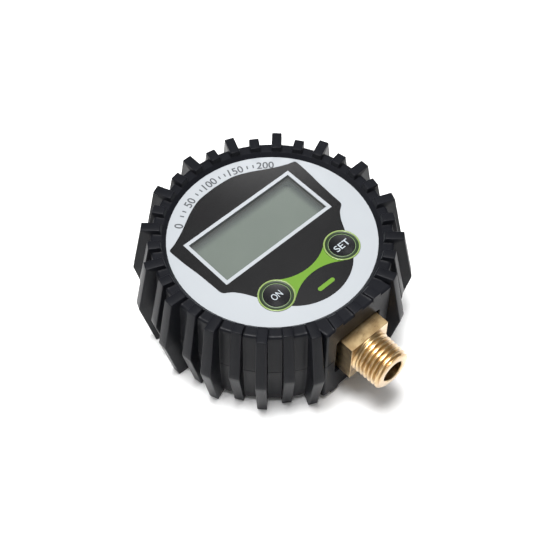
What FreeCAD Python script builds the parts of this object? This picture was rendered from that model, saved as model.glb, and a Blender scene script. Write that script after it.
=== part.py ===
import FreeCAD, Part
import os
import re
import math
import Sketcher
from FreeCAD import Placement, Rotation, Vector

# Digital pressure gauge in millimetres. The origin is the centre of the case's flat back,
# +Z points out of the dial, +X to the right of the dial and -Y out along the brass stem.

SIZES = {
    # case halves, split at the height of the stem's axis
    "case_radius": 32.5,
    "case_height": 30.0,
    "case_wall": 2.0,
    "front_thick": 2.0,
    "back_thick": 2.4,
    "tongue_thick": 0.9,
    "tongue_length": 1.5,
    "case_edge": 0.5,
    "part_gap": 0.1,
    # dial label
    "label_rim": 1.9,
    "label_thick": 0.4,
    # display
    "view_width": 38.4,
    "view_height": 16.3,
    "view_centre": 5.85,
    "pane_margin": 1.3,
    "pane_thick": 1.0,
    "glass_side_margin": 1.1,
    "glass_end_margin": 1.45,
    "glass_thick": 2.3,
    "holder_wall": 1.8,
    "strip_width": 1.6,
    "strip_length": 37.0,
    # circuit board
    "board_clearance": 1.2,
    "board_thick": 1.6,
    "board_drop": 3.8,
    "board_notch_half": 8.8,
    "board_notch_room": 1.8,
    "chip_width": 7.0,
    "chip_thick": 1.2,
    "chip_place_x": 10.0,
    "amplifier_width": 4.0,
    "amplifier_length": 5.0,
    "passive_length": 2.0,
    "passive_width": 1.2,
    "passive_thick": 0.8,
    "passive_pitch": 3.4,
    # keys and their switches
    "key_spread": 12.6,
    "key_drop": 15.3,
    "key_radius": 5.2,
    "key_proud": 0.7,
    "key_edge": 0.5,
    "key_clearance": 0.12,
    "key_flange_radius": 6.2,
    "key_flange_thick": 1.0,
    "key_post_radius": 2.2,
    "key_travel": 0.4,
    "switch_width": 6.0,
    "switch_height": 1.6,
    "plunger_radius": 1.6,
    "plunger_stroke_room": 0.1,
    "plunger_clearance": 0.08,
    "plunger_depth": 0.7,
    "plunger_proud": 0.6,
    # brass stem
    "stem_height": 16.4,
    "stem_proud": 16.5,
    "thread_length": 9.5,
    "thread_radius": 6.6,
    "thread_lead_in": 0.7,
    "square_width": 14.0,
    "square_depth": 3.5,
    "flange_radius": 8.5,
    "flange_thick": 1.8,
    "neck_radius": 5.0,
    "cup_radius": 7.5,
    "neck_length": 5.2,
    "cup_length": 9.0,
    "cup_bore_radius": 6.2,
    "cup_bore_depth": 5.5,
    "bore_radius": 3.5,
    "bore_depth": 20.0,
    "passage_radius": 1.5,
    # pressure sensor in the stem's cup
    "seal_outer_radius": 5.6,
    "seal_inner_radius": 3.4,
    "seal_thick": 1.5,
    "sensor_radius": 6.0,
    "sensor_thick": 3.0,
    "retainer_bore_radius": 3.5,
    "retainer_thick": 1.3,
    "ribbon_width": 4.0,
    "ribbon_thick": 0.5,
    "ribbon_bend_room": 2.4,
    # walls in the case that hold the stem
    "saddle_half_width": 9.4,
    "saddle_half_height": 10.0,
    "inner_saddle_half_width": 8.5,
    "saddle_thick": 1.5,
    # batteries and their box
    "cell_radius": 5.25,
    "cell_length": 44.5,
    "cell_nub_radius": 1.9,
    "cell_nub_length": 1.0,
    "cell_pitch": 11.0,
    "cell_centre_y": 3.1,
    "cell_lift": 0.3,
    "contact_thick": 0.4,
    "spring_length": 4.6,
    "spring_wire_radius": 0.3,
    "spring_base_radius": 3.4,
    "spring_tip_radius": 2.1,
    "spring_turns": 3.5,
    "box_wall": 1.4,
    "box_ceiling": 1.2,
    "cell_clearance": 0.35,
    "tab_width": 3.0,
    # battery cover
    "cover_margin": 0.15,
    "cover_ledge": 0.8,
    "cover_ledge_thick": 0.8,
    "cover_ear_radius": 4.5,
    "cover_ear_reach": 3.8,
    "cover_boss_radius": 3.2,
    "cover_screw_head_radius": 2.4,
    "cover_screw_head_height": 0.8,
    "cover_screw_seat": 0.9,
    "cover_screw_radius": 1.1,
    "cover_screw_length": 6.0,
    # screws of the case and the board
    "boss_radius": 3.0,
    "screw_inset": 5.5,
    "upper_screw_angle": 60.0,
    "lower_screw_angle": 28.0,
    "screw_radius": 1.1,
    "screw_head_radius": 2.3,
    "screw_head_height": 1.6,
    "screw_seat": 6.0,
    "screw_length": 18.0,
    "screw_clearance": 0.15,
    "board_boss_radius": 2.0,
    "board_screw_radius": 0.8,
    "board_screw_head_radius": 1.6,
    "board_screw_head_height": 1.1,
    "board_screw_length": 4.5,
    "board_screw_side_inset": 6.7,
    "board_screw_top_inset": 7.9,
    # rubber boot
    "boot_fit": 0.05,
    "boot_lip_overlap": 2.4,
    "boot_lip_thick": 1.2,
    "boot_lip_bevel": 1.1,
    "boot_wall": 1.9,
    "boot_edge_round": 0.5,
    "boot_bulge": 0.95,
    "rib_count": 32,
    "rib_proud": 1.8,
    "rib_inset": 0.5,
    "rib_root_depth": 0.9,
    "long_rib_reach": 2.75,
    "long_rib_bulge": 3.65,
    "short_rib_reach": 0.75,
    "short_rib_bulge": 3.7,
    "rib_width": 2.5,
    "rib_belt_width": 3.0,
    "rib_creep": 2.4,
    "creep_start": -60.0,
    "creep_span": 180.0,
    "block_proud": 0.55,
    "block_half_width": 12.5,
    "block_corner": 1.2,
    "window_half_width": 9.2,
    "window_half_height": 9.2,
    "window_corner": 1.0,
}

doc = FreeCAD.newDocument("pressure_gauge")
sheet = doc.addObject("Spreadsheet::Sheet", "Sizes")
for row, (alias, number) in enumerate(SIZES.items(), start=1):
    sheet.set(f"A{row}", alias)
    sheet.set(f"B{row}", str(number))
    sheet.setAlias(f"B{row}", alias)
doc.recompute()

# rules made of the sheet's names, used by more than one piece
FACE = "(case_height - label_thick)"
PLATE_UNDER = f"({FACE} - front_thick)"
CASE_INNER = "(case_radius - case_wall)"
TONGUE_EDGE = f"({CASE_INNER} + tongue_thick)"
SADDLE_OUTER = f"({CASE_INNER} + case_wall / 4)"
BOARD_TOP = f"({PLATE_UNDER} - board_drop)"
BOARD_UNDER = f"({BOARD_TOP} - board_thick)"
MIDDLE = "(case_height / 2)"
LABEL_RADIUS = "(case_radius - label_rim)"
VIEW_LOW = "(view_centre - view_height / 2)"
GLASS_WIDTH = "(view_width + 2 * glass_side_margin)"
GLASS_HEIGHT = "(view_height + 2 * glass_end_margin)"
GLASS_TOP = f"({PLATE_UNDER} - part_gap)"
BOARD_RADIUS = f"({CASE_INNER} - board_clearance)"
SWITCH_TOP = f"({BOARD_TOP} + switch_height)"
PLUNGER_TOP = f"({SWITCH_TOP} + plunger_proud)"
KEY_FLANGE_TOP = f"({PLATE_UNDER} - part_gap / 2)"
KEY_FLANGE_UNDER = f"({KEY_FLANGE_TOP} - key_flange_thick)"
CELL_Z = "(back_thick + cell_lift + cell_radius)"
CELL_TOP = f"({CELL_Z} + cell_radius)"
CEILING_UNDER = f"({CELL_TOP} + cell_clearance)"
CONTACT_X = "((cell_length + spring_length + part_gap) / 2)"
BOX_HALF_LENGTH = f"({CONTACT_X} + contact_thick + part_gap / 2)"
BOX_HALF_WIDTH = "(cell_pitch / 2 + cell_radius + cell_clearance)"
BOX_LOW = f"(cell_centre_y - {BOX_HALF_WIDTH})"
COVER_SCREW_Y = f"({BOX_LOW} - cover_ear_reach)"
STEM_REACH = "(case_radius + stem_proud)"
SQUARE_END = "(case_radius - square_depth)"
FLANGE_INNER = f"({SQUARE_END} - flange_thick)"
CUP_START = f"({FLANGE_INNER} - neck_length)"
CUP_END = f"({CUP_START} - cup_length)"
SENSOR_FACE = f"({CUP_END} + cup_bore_depth - seal_thick)"
RIBBON_RISE = f"({CUP_END} - ribbon_bend_room)"
SCREW_CIRCLE = "(case_radius - screw_inset)"
SHEET_WORD = re.compile(r"[a-z_]+")


def tie(item, prop, rule):
    """Bind a property to a rule written in the sheet's own names."""
    text = SHEET_WORD.sub(lambda m: f"Sizes.{m.group(0)}" if m.group(0) in SIZES else m.group(0), rule)
    item.setExpression(prop, text)


def place(item, at, turn=None):
    """Put an item's origin at three rules, turned by a fixed rotation."""
    if turn is not None:
        item.Placement = Placement(Vector(), turn)
    for axis, rule in zip("xyz", at):
        tie(item, f"Placement.Base.{axis}", rule)
    return item


def block(name, low, size):
    """Box from its lowest corner and its three lengths."""
    item = doc.addObject("Part::Box", name)
    for prop, rule in zip(("Length", "Width", "Height"), size):
        tie(item, prop, rule)
    return place(item, low)


TOWARDS_Y = Rotation(Vector(1, 0, 0), -90)
TOWARDS_X = Rotation(Vector(0, 1, 0), 90)


def rod(name, at, radius, length, turn=None):
    """Cylinder standing on a point, along Z unless it is turned."""
    item = doc.addObject("Part::Cylinder", name)
    tie(item, "Radius", radius)
    tie(item, "Height", length)
    return place(item, at, turn)


def fuse(name, items):
    joined = doc.addObject("Part::MultiFuse", name)
    joined.Shapes = items
    return joined


def cut(name, base, tools):
    item = doc.addObject("Part::Cut", name)
    item.Base = base
    item.Tool = tools[0] if len(tools) == 1 else fuse(f"{name}_tools", tools)
    return item


def group(name, items):
    gathered = doc.addObject("Part::Compound", name)
    gathered.Links = items
    return gathered


def plane_of(body, role):
    return [item for item in body.Origin.OriginFeatures if item.Role == role][0]


def outline(body, role, name, corners):
    """Closed straight-sided sketch whose corners are tied to pairs of rules."""
    sketch = body.newObject("Sketcher::SketchObject", name)
    sketch.AttachmentSupport = (plane_of(body, role), [""])
    sketch.MapMode = "FlatFace"
    count = len(corners)
    angles = [2 * math.pi * index / count for index in range(count)]
    first = [Vector(20 + 9 * math.cos(a), 20 + 9 * math.sin(a), 0) for a in angles]
    for index in range(count):
        sketch.addGeometry(Part.LineSegment(first[index], first[(index + 1) % count]), False)
    for index in range(count):
        sketch.addConstraint(Sketcher.Constraint("Coincident", index, 2, (index + 1) % count, 1))
    for index, (x_rule, y_rule) in enumerate(corners):
        for kind, rule, at in (("DistanceX", x_rule, first[index].x), ("DistanceY", y_rule, first[index].y)):
            number = sketch.addConstraint(Sketcher.Constraint(kind, -1, 1, index, 1, at))
            tie(sketch, f"Constraints[{number}]", rule)
    return sketch


def turned(name, corners, role="XZ_Plane", axis="V_Axis"):
    """Body of revolution from an outline in one of its own planes."""
    body = doc.addObject("PartDesign::Body", name)
    sketch = outline(body, role, f"{name}_outline", corners)
    feature = body.newObject("PartDesign::Revolution", f"{name}_turn")
    feature.Profile = sketch
    feature.ReferenceAxis = (sketch, [axis])
    feature.Angle = 360
    return body


def extruded(name, role, corners, length):
    """Body padded equally to both sides of one of its own planes."""
    body = doc.addObject("PartDesign::Body", name)
    sketch = outline(body, role, f"{name}_outline", corners)
    feature = body.newObject("PartDesign::Pad", f"{name}_pad")
    feature.Profile = sketch
    feature.SideType = "Symmetric"
    tie(feature, "Length", length)
    return body


PIECES = {}


def piece(node, item):
    """Give a finished sub-part its node name and put it on the list to write out."""
    item.Label = node
    PIECES[node] = item
    return item


def case_screw_places():
    """Rules for the four case screws, as pairs of x and y."""
    places = []
    for side in ("", "-"):
        for up, angle in (("", "upper_screw_angle"), ("-", "lower_screw_angle")):
            places.append((f"{side}{SCREW_CIRCLE} * cos({angle})", f"{up}{SCREW_CIRCLE} * sin({angle})"))
    return places


def board_screw_places():
    """Rules for the three board screws, as pairs of x and y."""
    side = "(case_radius - board_screw_side_inset)"
    top = "case_radius - board_screw_top_inset"
    return [(side, "cell_centre_y"), (f"-{side}", "cell_centre_y"), ("0", top)]


# front case: a turned shell with a tongue, the display window, key holes, bosses and stem walls
front_shell = turned("front_shell", [
    ("0", PLATE_UNDER), (CASE_INNER, PLATE_UNDER), (CASE_INNER, "stem_height - tongue_length"),
    (TONGUE_EDGE, "stem_height - tongue_length"), (TONGUE_EDGE, "stem_height"),
    ("case_radius", "stem_height"), ("case_radius", "case_height"),
    (f"{LABEL_RADIUS} + part_gap", "case_height"), (f"{LABEL_RADIUS} + part_gap", FACE), ("0", FACE)])
front_items = [front_shell]
for index, (x, y) in enumerate(case_screw_places()):
    front_items.append(rod(f"front_boss_{index}", (x, y, "stem_height"), "boss_radius",
                           f"{PLATE_UNDER} - stem_height"))
for index, (x, y) in enumerate(board_screw_places()):
    front_items.append(rod(f"board_boss_{index}", (x, y, BOARD_TOP), "board_boss_radius", "board_drop"))
front_items.append(block("front_saddle_outer", ("-saddle_half_width", f"-{SADDLE_OUTER}", "stem_height"),
                         ("2 * saddle_half_width", f"{SADDLE_OUTER} - {SQUARE_END} - part_gap",
                          "saddle_half_height")))
front_items.append(block("front_saddle_inner",
                         ("-inner_saddle_half_width", f"-{FLANGE_INNER} + part_gap", "stem_height"),
                         ("2 * inner_saddle_half_width", "saddle_thick", f"{PLATE_UNDER} - stem_height")))


def stem_room(prefix):
    """Cutters for the stem's square and neck through the case."""
    room = "(square_width + 2 * part_gap)"
    square = block(f"{prefix}_square_room", (f"-{room} / 2", "-case_radius - 1", f"stem_height - {room} / 2"),
                   (room, f"case_radius + 1 - {SQUARE_END} + part_gap", room))
    neck = rod(f"{prefix}_neck_room", ("0", f"-{FLANGE_INNER} - part_gap", "stem_height"),
               "neck_radius + part_gap", "saddle_thick + 3 * part_gap", TOWARDS_Y)
    return [square, neck]


front_cuts = stem_room("front")
front_cuts.append(block("view_opening", ("-view_width / 2", VIEW_LOW, f"{PLATE_UNDER} - 1"),
                        ("view_width", "view_height", "front_thick + 2")))
front_cuts.append(block("pane_seat",
                        ("-view_width / 2 - pane_margin", f"{VIEW_LOW} - pane_margin", f"{FACE} - pane_thick"),
                        ("view_width + 2 * pane_margin", "view_height + 2 * pane_margin", "pane_thick + 1")))
for side in ("-", ""):
    front_cuts.append(rod(f"key_hole{side}", (f"{side}key_spread", "-key_drop", f"{PLATE_UNDER} - 1"),
                          "key_radius + key_clearance", "front_thick + 2"))
for index, (x, y) in enumerate(case_screw_places()):
    front_cuts.append(rod(f"front_screw_hole_{index}", (x, y, "stem_height - 1"), "screw_radius",
                          "screw_seat + screw_length - stem_height + 1 + part_gap"))
for index, (x, y) in enumerate(board_screw_places()):
    front_cuts.append(rod(f"board_screw_hole_{index}", (x, y, f"{BOARD_TOP} - 1"), "board_screw_radius",
                          "board_screw_length - board_thick + 1 + part_gap"))
front_case = piece("front_case", cut("front_case_cut", fuse("front_case_solid", front_items), front_cuts))

# rear case: a turned cup with the battery box, screw pillars and the lower stem walls
rear_shell = turned("rear_shell", [
    ("0", "0"), ("case_radius - case_edge", "0"), ("case_radius", "case_edge"), ("case_radius", "stem_height"),
    (f"{TONGUE_EDGE} + part_gap", "stem_height"),
    (f"{TONGUE_EDGE} + part_gap", "stem_height - tongue_length - part_gap"),
    (CASE_INNER, "stem_height - tongue_length - part_gap"), (CASE_INNER, "back_thick"), ("0", "back_thick")])
rear_items = [rear_shell]
rear_items.append(block("battery_box", (f"-{BOX_HALF_LENGTH} - box_wall", f"{BOX_LOW} - box_wall", "0"),
                        (f"2 * ({BOX_HALF_LENGTH} + box_wall)", f"2 * ({BOX_HALF_WIDTH} + box_wall)",
                         f"{CEILING_UNDER} + box_ceiling")))
rear_items.append(rod("cover_boss", ("0", COVER_SCREW_Y, "back_thick / 2"), "cover_boss_radius",
                      "cover_screw_length + cover_screw_seat"))
for index, (x, y) in enumerate(case_screw_places()):
    rear_items.append(rod(f"rear_boss_{index}", (x, y, "0"), "boss_radius", "stem_height - part_gap"))
rear_items.append(block("rear_saddle_outer", ("-saddle_half_width", f"-{SADDLE_OUTER}",
                                              "stem_height - saddle_half_height"),
                        ("2 * saddle_half_width", f"{SADDLE_OUTER} - {SQUARE_END} - part_gap",
                         "saddle_half_height - tongue_length - part_gap")))
rear_items.append(block("rear_saddle_inner",
                        ("-inner_saddle_half_width", f"-{FLANGE_INNER} + part_gap", "back_thick / 2"),
                        ("2 * inner_saddle_half_width", "saddle_thick",
                         "stem_height - back_thick / 2 - part_gap")))
rear_cuts = stem_room("rear")
rear_cuts.append(block("battery_room", (f"-{BOX_HALF_LENGTH}", BOX_LOW, "-1"),
                       (f"2 * {BOX_HALF_LENGTH}", f"2 * {BOX_HALF_WIDTH}", f"{CEILING_UNDER} + 1")))
rear_cuts.append(block("cover_seat", (f"-{BOX_HALF_LENGTH} - cover_ledge", f"{BOX_LOW} - cover_ledge", "-1"),
                       (f"2 * ({BOX_HALF_LENGTH} + cover_ledge)", f"2 * ({BOX_HALF_WIDTH} + cover_ledge)",
                        "back_thick - cover_ledge_thick + 1")))
rear_cuts.append(rod("cover_ear_seat", ("0", COVER_SCREW_Y, "-1"), "cover_ear_radius",
                     "back_thick - cover_ledge_thick + 1"))
rear_cuts.append(rod("cover_screw_hole", ("0", COVER_SCREW_Y, "-1"), "cover_screw_radius",
                     "cover_screw_seat + cover_screw_length + 1 + part_gap"))
for name, row in (("upper", "+"), ("lower", "-")):
    slot_y = f"cell_centre_y {row} cell_pitch / 2 - tab_width / 2 - part_gap"
    rear_cuts.append(block(f"tab_slot_{name}", (f"-{BOX_HALF_LENGTH}", slot_y, f"{CEILING_UNDER} - 1"),
                           ("contact_thick + 2 * part_gap", "tab_width + 2 * part_gap", "box_ceiling + 2")))
for index, (x, y) in enumerate(case_screw_places()):
    rear_cuts.append(rod(f"rear_screw_hole_{index}", (x, y, "-1"),
                         "screw_radius + screw_clearance", "stem_height + 2"))
    rear_cuts.append(rod(f"rear_screw_recess_{index}", (x, y, "-1"),
                         "screw_head_radius + screw_clearance", "screw_seat + 1"))
rear_case = piece("rear_case", cut("rear_case_cut", fuse("rear_case_solid", rear_items), rear_cuts))

# dial label with the display opening and the two key openings
label_disc = rod("label_disc", ("0", "0", FACE), LABEL_RADIUS, "label_thick")
label_cuts = [block("label_view", ("-view_width / 2", VIEW_LOW, f"{FACE} - 1"),
                    ("view_width", "view_height", "label_thick + 2"))]
for side in ("-", ""):
    label_cuts.append(rod(f"label_key_hole{side}", (f"{side}key_spread", "-key_drop", f"{FACE} - 1"),
                          "key_radius + key_clearance", "label_thick + 2"))
piece("dial_overlay", cut("dial_overlay_cut", label_disc, label_cuts))

# clear pane over the display, glued into its seat under the label
PANE_RIM = "(pane_margin - part_gap)"
piece("display_window", block("pane", (f"-view_width / 2 - {PANE_RIM}", f"{VIEW_LOW} - {PANE_RIM}",
                                       f"{FACE} - pane_thick"),
                              (f"view_width + 2 * {PANE_RIM}", f"view_height + 2 * {PANE_RIM}", "pane_thick")))

# display glass, its holder and the two rubber connector strips
GLASS_LOW = f"(view_centre - {GLASS_HEIGHT} / 2)"
piece("lcd_panel", block("glass", (f"-{GLASS_WIDTH} / 2", GLASS_LOW, f"{GLASS_TOP} - glass_thick"),
                         (GLASS_WIDTH, GLASS_HEIGHT, "glass_thick")))
holder_block = block("holder_block", (f"-{GLASS_WIDTH} / 2 - part_gap - holder_wall",
                                      f"{GLASS_LOW} - part_gap - holder_wall", BOARD_TOP),
                     (f"{GLASS_WIDTH} + 2 * (part_gap + holder_wall)",
                      f"{GLASS_HEIGHT} + 2 * (part_gap + holder_wall)", "board_drop - part_gap"))
holder_room = block("holder_room", (f"-{GLASS_WIDTH} / 2 - part_gap", f"{GLASS_LOW} - part_gap",
                                    f"{BOARD_TOP} - 1"),
                    (f"{GLASS_WIDTH} + 2 * part_gap", f"{GLASS_HEIGHT} + 2 * part_gap", "board_drop + 2"))
piece("lcd_frame", cut("lcd_frame_cut", holder_block, [holder_room]))
for node, edge in (("contact_strip_upper", f"{GLASS_LOW} + {GLASS_HEIGHT} - strip_width - part_gap"),
                   ("contact_strip_lower", f"{GLASS_LOW} + part_gap")):
    piece(node, block(f"{node}_block", ("-strip_length / 2", edge, BOARD_TOP),
                      ("strip_length", "strip_width", "board_drop - part_gap - glass_thick")))

# circuit board, notched for the sensor cup and holed for pillars and screws
board_disc = rod("board_disc", ("0", "0", BOARD_UNDER), BOARD_RADIUS, "board_thick")
board_cuts = [block("board_notch", ("-board_notch_half", f"-{BOARD_RADIUS} - 1", f"{BOARD_UNDER} - 1"),
                    ("2 * board_notch_half", f"{BOARD_RADIUS} + 1 - {CUP_END} + board_notch_room",
                     "board_thick + 2"))]
for index, (x, y) in enumerate(case_screw_places()):
    board_cuts.append(rod(f"board_pillar_hole_{index}", (x, y, f"{BOARD_UNDER} - 1"),
                          "boss_radius + 3 * part_gap", "board_thick + 2"))
for index, (x, y) in enumerate(board_screw_places()):
    board_cuts.append(rod(f"board_hole_{index}", (x, y, f"{BOARD_UNDER} - 1"),
                          "board_screw_radius + screw_clearance", "board_thick + 2"))
piece("circuit_board", cut("circuit_board_cut", board_disc, board_cuts))
piece("controller_chip", block("controller", ("chip_place_x - chip_width / 2",
                                              "cell_centre_y - chip_width / 2", f"{BOARD_UNDER} - chip_thick"),
                               ("chip_width", "chip_width", "chip_thick")))
piece("amplifier_chip", block("amplifier", ("-amplifier_width / 2", "-amplifier_length / 2",
                                            f"{BOARD_UNDER} - chip_thick"),
                              ("amplifier_width", "amplifier_length", "chip_thick")))
passives = []
for column in range(3):
    for row in range(2):
        passives.append(block(f"passive_{column}_{row}", (f"-chip_place_x - passive_pitch * {column}",
                                                          f"passive_pitch * {row}",
                                                          f"{BOARD_UNDER} - passive_thick"),
                              ("passive_length", "passive_width", "passive_thick")))
piece("board_passives", group("passives", passives))

# keys with a flange under the case front, and the press switch below each
for node, side in (("on", "-"), ("function", "")):
    key = turned(f"{node}_key", [
        ("0", PLUNGER_TOP), ("key_post_radius", PLUNGER_TOP), ("key_post_radius", KEY_FLANGE_UNDER),
        ("key_flange_radius", KEY_FLANGE_UNDER), ("key_flange_radius", KEY_FLANGE_TOP),
        ("key_radius", KEY_FLANGE_TOP), ("key_radius", "case_height + key_proud - key_edge"),
        ("key_radius - key_edge", "case_height + key_proud"), ("0", "case_height + key_proud")])
    place(key, (f"{side}key_spread", "-key_drop", "0"))
    piece(f"{node}_button", key)
    body = block(f"{node}_switch_body", (f"{side}key_spread - switch_width / 2",
                                         "-key_drop - switch_width / 2", BOARD_TOP),
                 ("switch_width", "switch_width", "switch_height"))
    well = rod(f"{node}_switch_well", (f"{side}key_spread", "-key_drop",
                                       f"{SWITCH_TOP} - plunger_depth - key_travel - plunger_stroke_room"),
               "plunger_radius + plunger_clearance", "plunger_depth + key_travel + plunger_stroke_room + 1")
    piece(f"{node}_switch", cut(f"{node}_switch_cut", body, [well]))
    piece(f"{node}_switch_plunger", rod(f"{node}_plunger", (f"{side}key_spread", "-key_drop",
                                                            f"{SWITCH_TOP} - plunger_depth"),
                                        "plunger_radius", "plunger_depth + plunger_proud"))

# brass stem: a turned core about the Y axis with a square for the spanner, bored from the mouth
stem_core = turned("stem_core", [
    (f"-{STEM_REACH}", "0"), (f"-{STEM_REACH}", "thread_radius - thread_lead_in"),
    (f"-{STEM_REACH} + thread_lead_in", "thread_radius"),
    (f"-{STEM_REACH} + thread_length", "thread_radius"), (f"-{SQUARE_END}", "thread_radius"),
    (f"-{SQUARE_END}", "flange_radius"), (f"-{FLANGE_INNER}", "flange_radius"),
    (f"-{FLANGE_INNER}", "neck_radius"), (f"-{CUP_START}", "neck_radius"), (f"-{CUP_START}", "cup_radius"),
    (f"-{CUP_END}", "cup_radius"), (f"-{CUP_END}", "cup_bore_radius"),
    (f"-{CUP_END} - cup_bore_depth", "cup_bore_radius"), (f"-{CUP_END} - cup_bore_depth", "0")],
    "YZ_Plane", "H_Axis")
place(stem_core, ("0", "0", "stem_height"))
stem_square = block("stem_square", ("-square_width / 2", f"-{STEM_REACH} + thread_length",
                                    "stem_height - square_width / 2"),
                    ("square_width", f"{STEM_REACH} - thread_length - {SQUARE_END}", "square_width"))
stem_bore = rod("stem_bore", ("0", f"-{STEM_REACH} - 1", "stem_height"), "bore_radius", "bore_depth + 1",
                TOWARDS_Y)
stem_passage = rod("stem_passage", ("0", f"-{STEM_REACH}", "stem_height"), "passage_radius",
                   f"{STEM_REACH} - {CUP_END} - 1", TOWARDS_Y)
piece("brass_stem", cut("brass_stem_cut", fuse("stem_solid", [stem_core, stem_square]),
                        [stem_bore, stem_passage]))


def washer(node, start, outer, inner, thick):
    """Flat ring round the stem's axis, from a place behind the dial's lower edge inwards."""
    disc = rod(f"{node}_disc", ("0", start, "stem_height"), outer, thick, TOWARDS_Y)
    hole = rod(f"{node}_hole", ("0", f"{start} - 1", "stem_height"), inner, f"{thick} + 2", TOWARDS_Y)
    return piece(node, cut(f"{node}_cut", disc, [hole]))


# sensing end: seal, sensor capsule, screwed ring and flat lead to the board
washer("sensor_seal", f"-{CUP_END} - cup_bore_depth", "seal_outer_radius", "seal_inner_radius", "seal_thick")
piece("pressure_sensor", rod("sensor_disc", ("0", f"-{SENSOR_FACE}", "stem_height"), "sensor_radius",
                             "sensor_thick", TOWARDS_Y))
washer("sensor_retaining_ring", f"-{SENSOR_FACE} + sensor_thick", "cup_bore_radius - part_gap / 2",
       "retainer_bore_radius", "retainer_thick")
piece("sensor_ribbon", extruded("ribbon", "YZ_Plane", [
    (f"-{SENSOR_FACE} + sensor_thick", "stem_height"), (f"-{RIBBON_RISE} + ribbon_thick", "stem_height"),
    (f"-{RIBBON_RISE} + ribbon_thick", BOARD_UNDER), (f"-{RIBBON_RISE}", BOARD_UNDER),
    (f"-{RIBBON_RISE}", "stem_height + ribbon_thick"),
    (f"-{SENSOR_FACE} + sensor_thick", "stem_height + ribbon_thick")], "ribbon_width"))

# two cells lying side by side, pointing opposite ways
for node, row, way in (("battery_upper", "+", 1), ("battery_lower", "-", -1)):
    sign = "" if way > 0 else "-"
    back = f"{sign}({CONTACT_X} - cell_length)"
    y = f"cell_centre_y {row} cell_pitch / 2"
    turn = Rotation(Vector(0, 1, 0), 90 * way)
    can = rod(f"{node}_can", (back, y, CELL_Z), "cell_radius", "cell_length - cell_nub_length", turn)
    nub = rod(f"{node}_nub", (back, y, CELL_Z), "cell_nub_radius", "cell_length", turn)
    piece(node, fuse(f"{node}_solid", [can, nub]))

# battery contacts: one bridge on the right, two single plates with tabs up to the board on the left
piece("bridge_contact", block("bridge_plate", (CONTACT_X, f"{BOX_LOW} + cell_clearance",
                                               "back_thick + cell_lift"),
                              ("contact_thick", f"2 * ({BOX_HALF_WIDTH} - cell_clearance)",
                               "2 * cell_radius")))
for node, row in (("negative_contact", "+"), ("positive_contact", "-")):
    y = f"cell_centre_y {row} cell_pitch / 2"
    plate = block(f"{node}_plate", (f"-{CONTACT_X} - contact_thick", f"{y} - cell_radius + part_gap",
                                    "back_thick + cell_lift"),
                  ("contact_thick", "2 * cell_radius - 2 * part_gap", "2 * cell_radius"))
    tab = block(f"{node}_tab", (f"-{CONTACT_X} - contact_thick", f"{y} - tab_width / 2", CELL_Z),
                ("contact_thick", "tab_width", f"{BOARD_UNDER} - {CELL_Z}"))
    piece(node, fuse(f"{node}_solid", [plate, tab]))


def coil(base, tip, wire, turns, rise, steps=14, sides=6):
    """Wire with a six-sided section along a cone-shaped helix drawn as short straight runs."""
    count = round(turns * steps)
    points = []
    for index in range(count + 1):
        share = index / count
        radius = base + (tip - base) * share
        angle = 2 * math.pi * turns * share
        points.append(Vector(radius * math.cos(angle), radius * math.sin(angle), wire + rise * share))
    along = (points[1] - points[0]).normalize()
    across = (Vector(1, 0, 0) - along * along.x).normalize()
    upward = along.cross(across)
    turns_of_section = [2 * math.pi * index / sides for index in range(sides + 1)]
    section = Part.makePolygon([points[0] + across * (wire * math.cos(a)) + upward * (wire * math.sin(a))
                                for a in turns_of_section])
    return Part.makePolygon(points).makePipeShell([section], True, False, MITRED)


MITRED = 1
for node, row, way in (("battery_spring_left", "+", 1), ("battery_spring_right", "-", -1)):
    spring = doc.addObject("Part::Feature", f"{node}_coil")
    spring.Shape = coil(sheet.get("spring_base_radius"), sheet.get("spring_tip_radius"),
                        sheet.get("spring_wire_radius"), sheet.get("spring_turns"),
                        sheet.get("spring_length") - 2 * sheet.get("spring_wire_radius"))
    sign = "-" if way > 0 else ""
    place(spring, (f"{sign}{CONTACT_X}", f"cell_centre_y {row} cell_pitch / 2", CELL_Z),
          Rotation(Vector(0, 1, 0), 90 * way))
    piece(node, spring)

# battery cover with a screw ear, lying flush in its seat
COVER_RIM = "(cover_ledge - cover_margin)"
COVER_THICK = "(back_thick - cover_ledge_thick)"
cover_plate = block("cover_plate", (f"-{BOX_HALF_LENGTH} - {COVER_RIM}", f"{BOX_LOW} - {COVER_RIM}", "0"),
                    (f"2 * ({BOX_HALF_LENGTH} + {COVER_RIM})", f"2 * ({BOX_HALF_WIDTH} + {COVER_RIM})",
                     COVER_THICK))
cover_ear = rod("cover_ear", ("0", COVER_SCREW_Y, "0"), "cover_ear_radius - cover_margin", COVER_THICK)
cover_hole = rod("cover_hole", ("0", COVER_SCREW_Y, "-1"), "cover_screw_radius + screw_clearance",
                 "back_thick + 2")
cover_recess = rod("cover_recess", ("0", COVER_SCREW_Y, "-1"), "cover_screw_head_radius + screw_clearance",
                   "cover_screw_seat + 1")
piece("battery_cover", cut("battery_cover_cut", fuse("cover_solid", [cover_plate, cover_ear]),
                           [cover_hole, cover_recess]))


def screw(name, at, seat, head, shank):
    """Head below its seat and a plain shank above it, each given as radius and length."""
    x, y = at
    top = rod(f"{name}_head", (x, y, f"{seat} - {head[1]}"), *head)
    return fuse(name, [top, rod(f"{name}_shank", (x, y, seat), *shank)])


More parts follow.
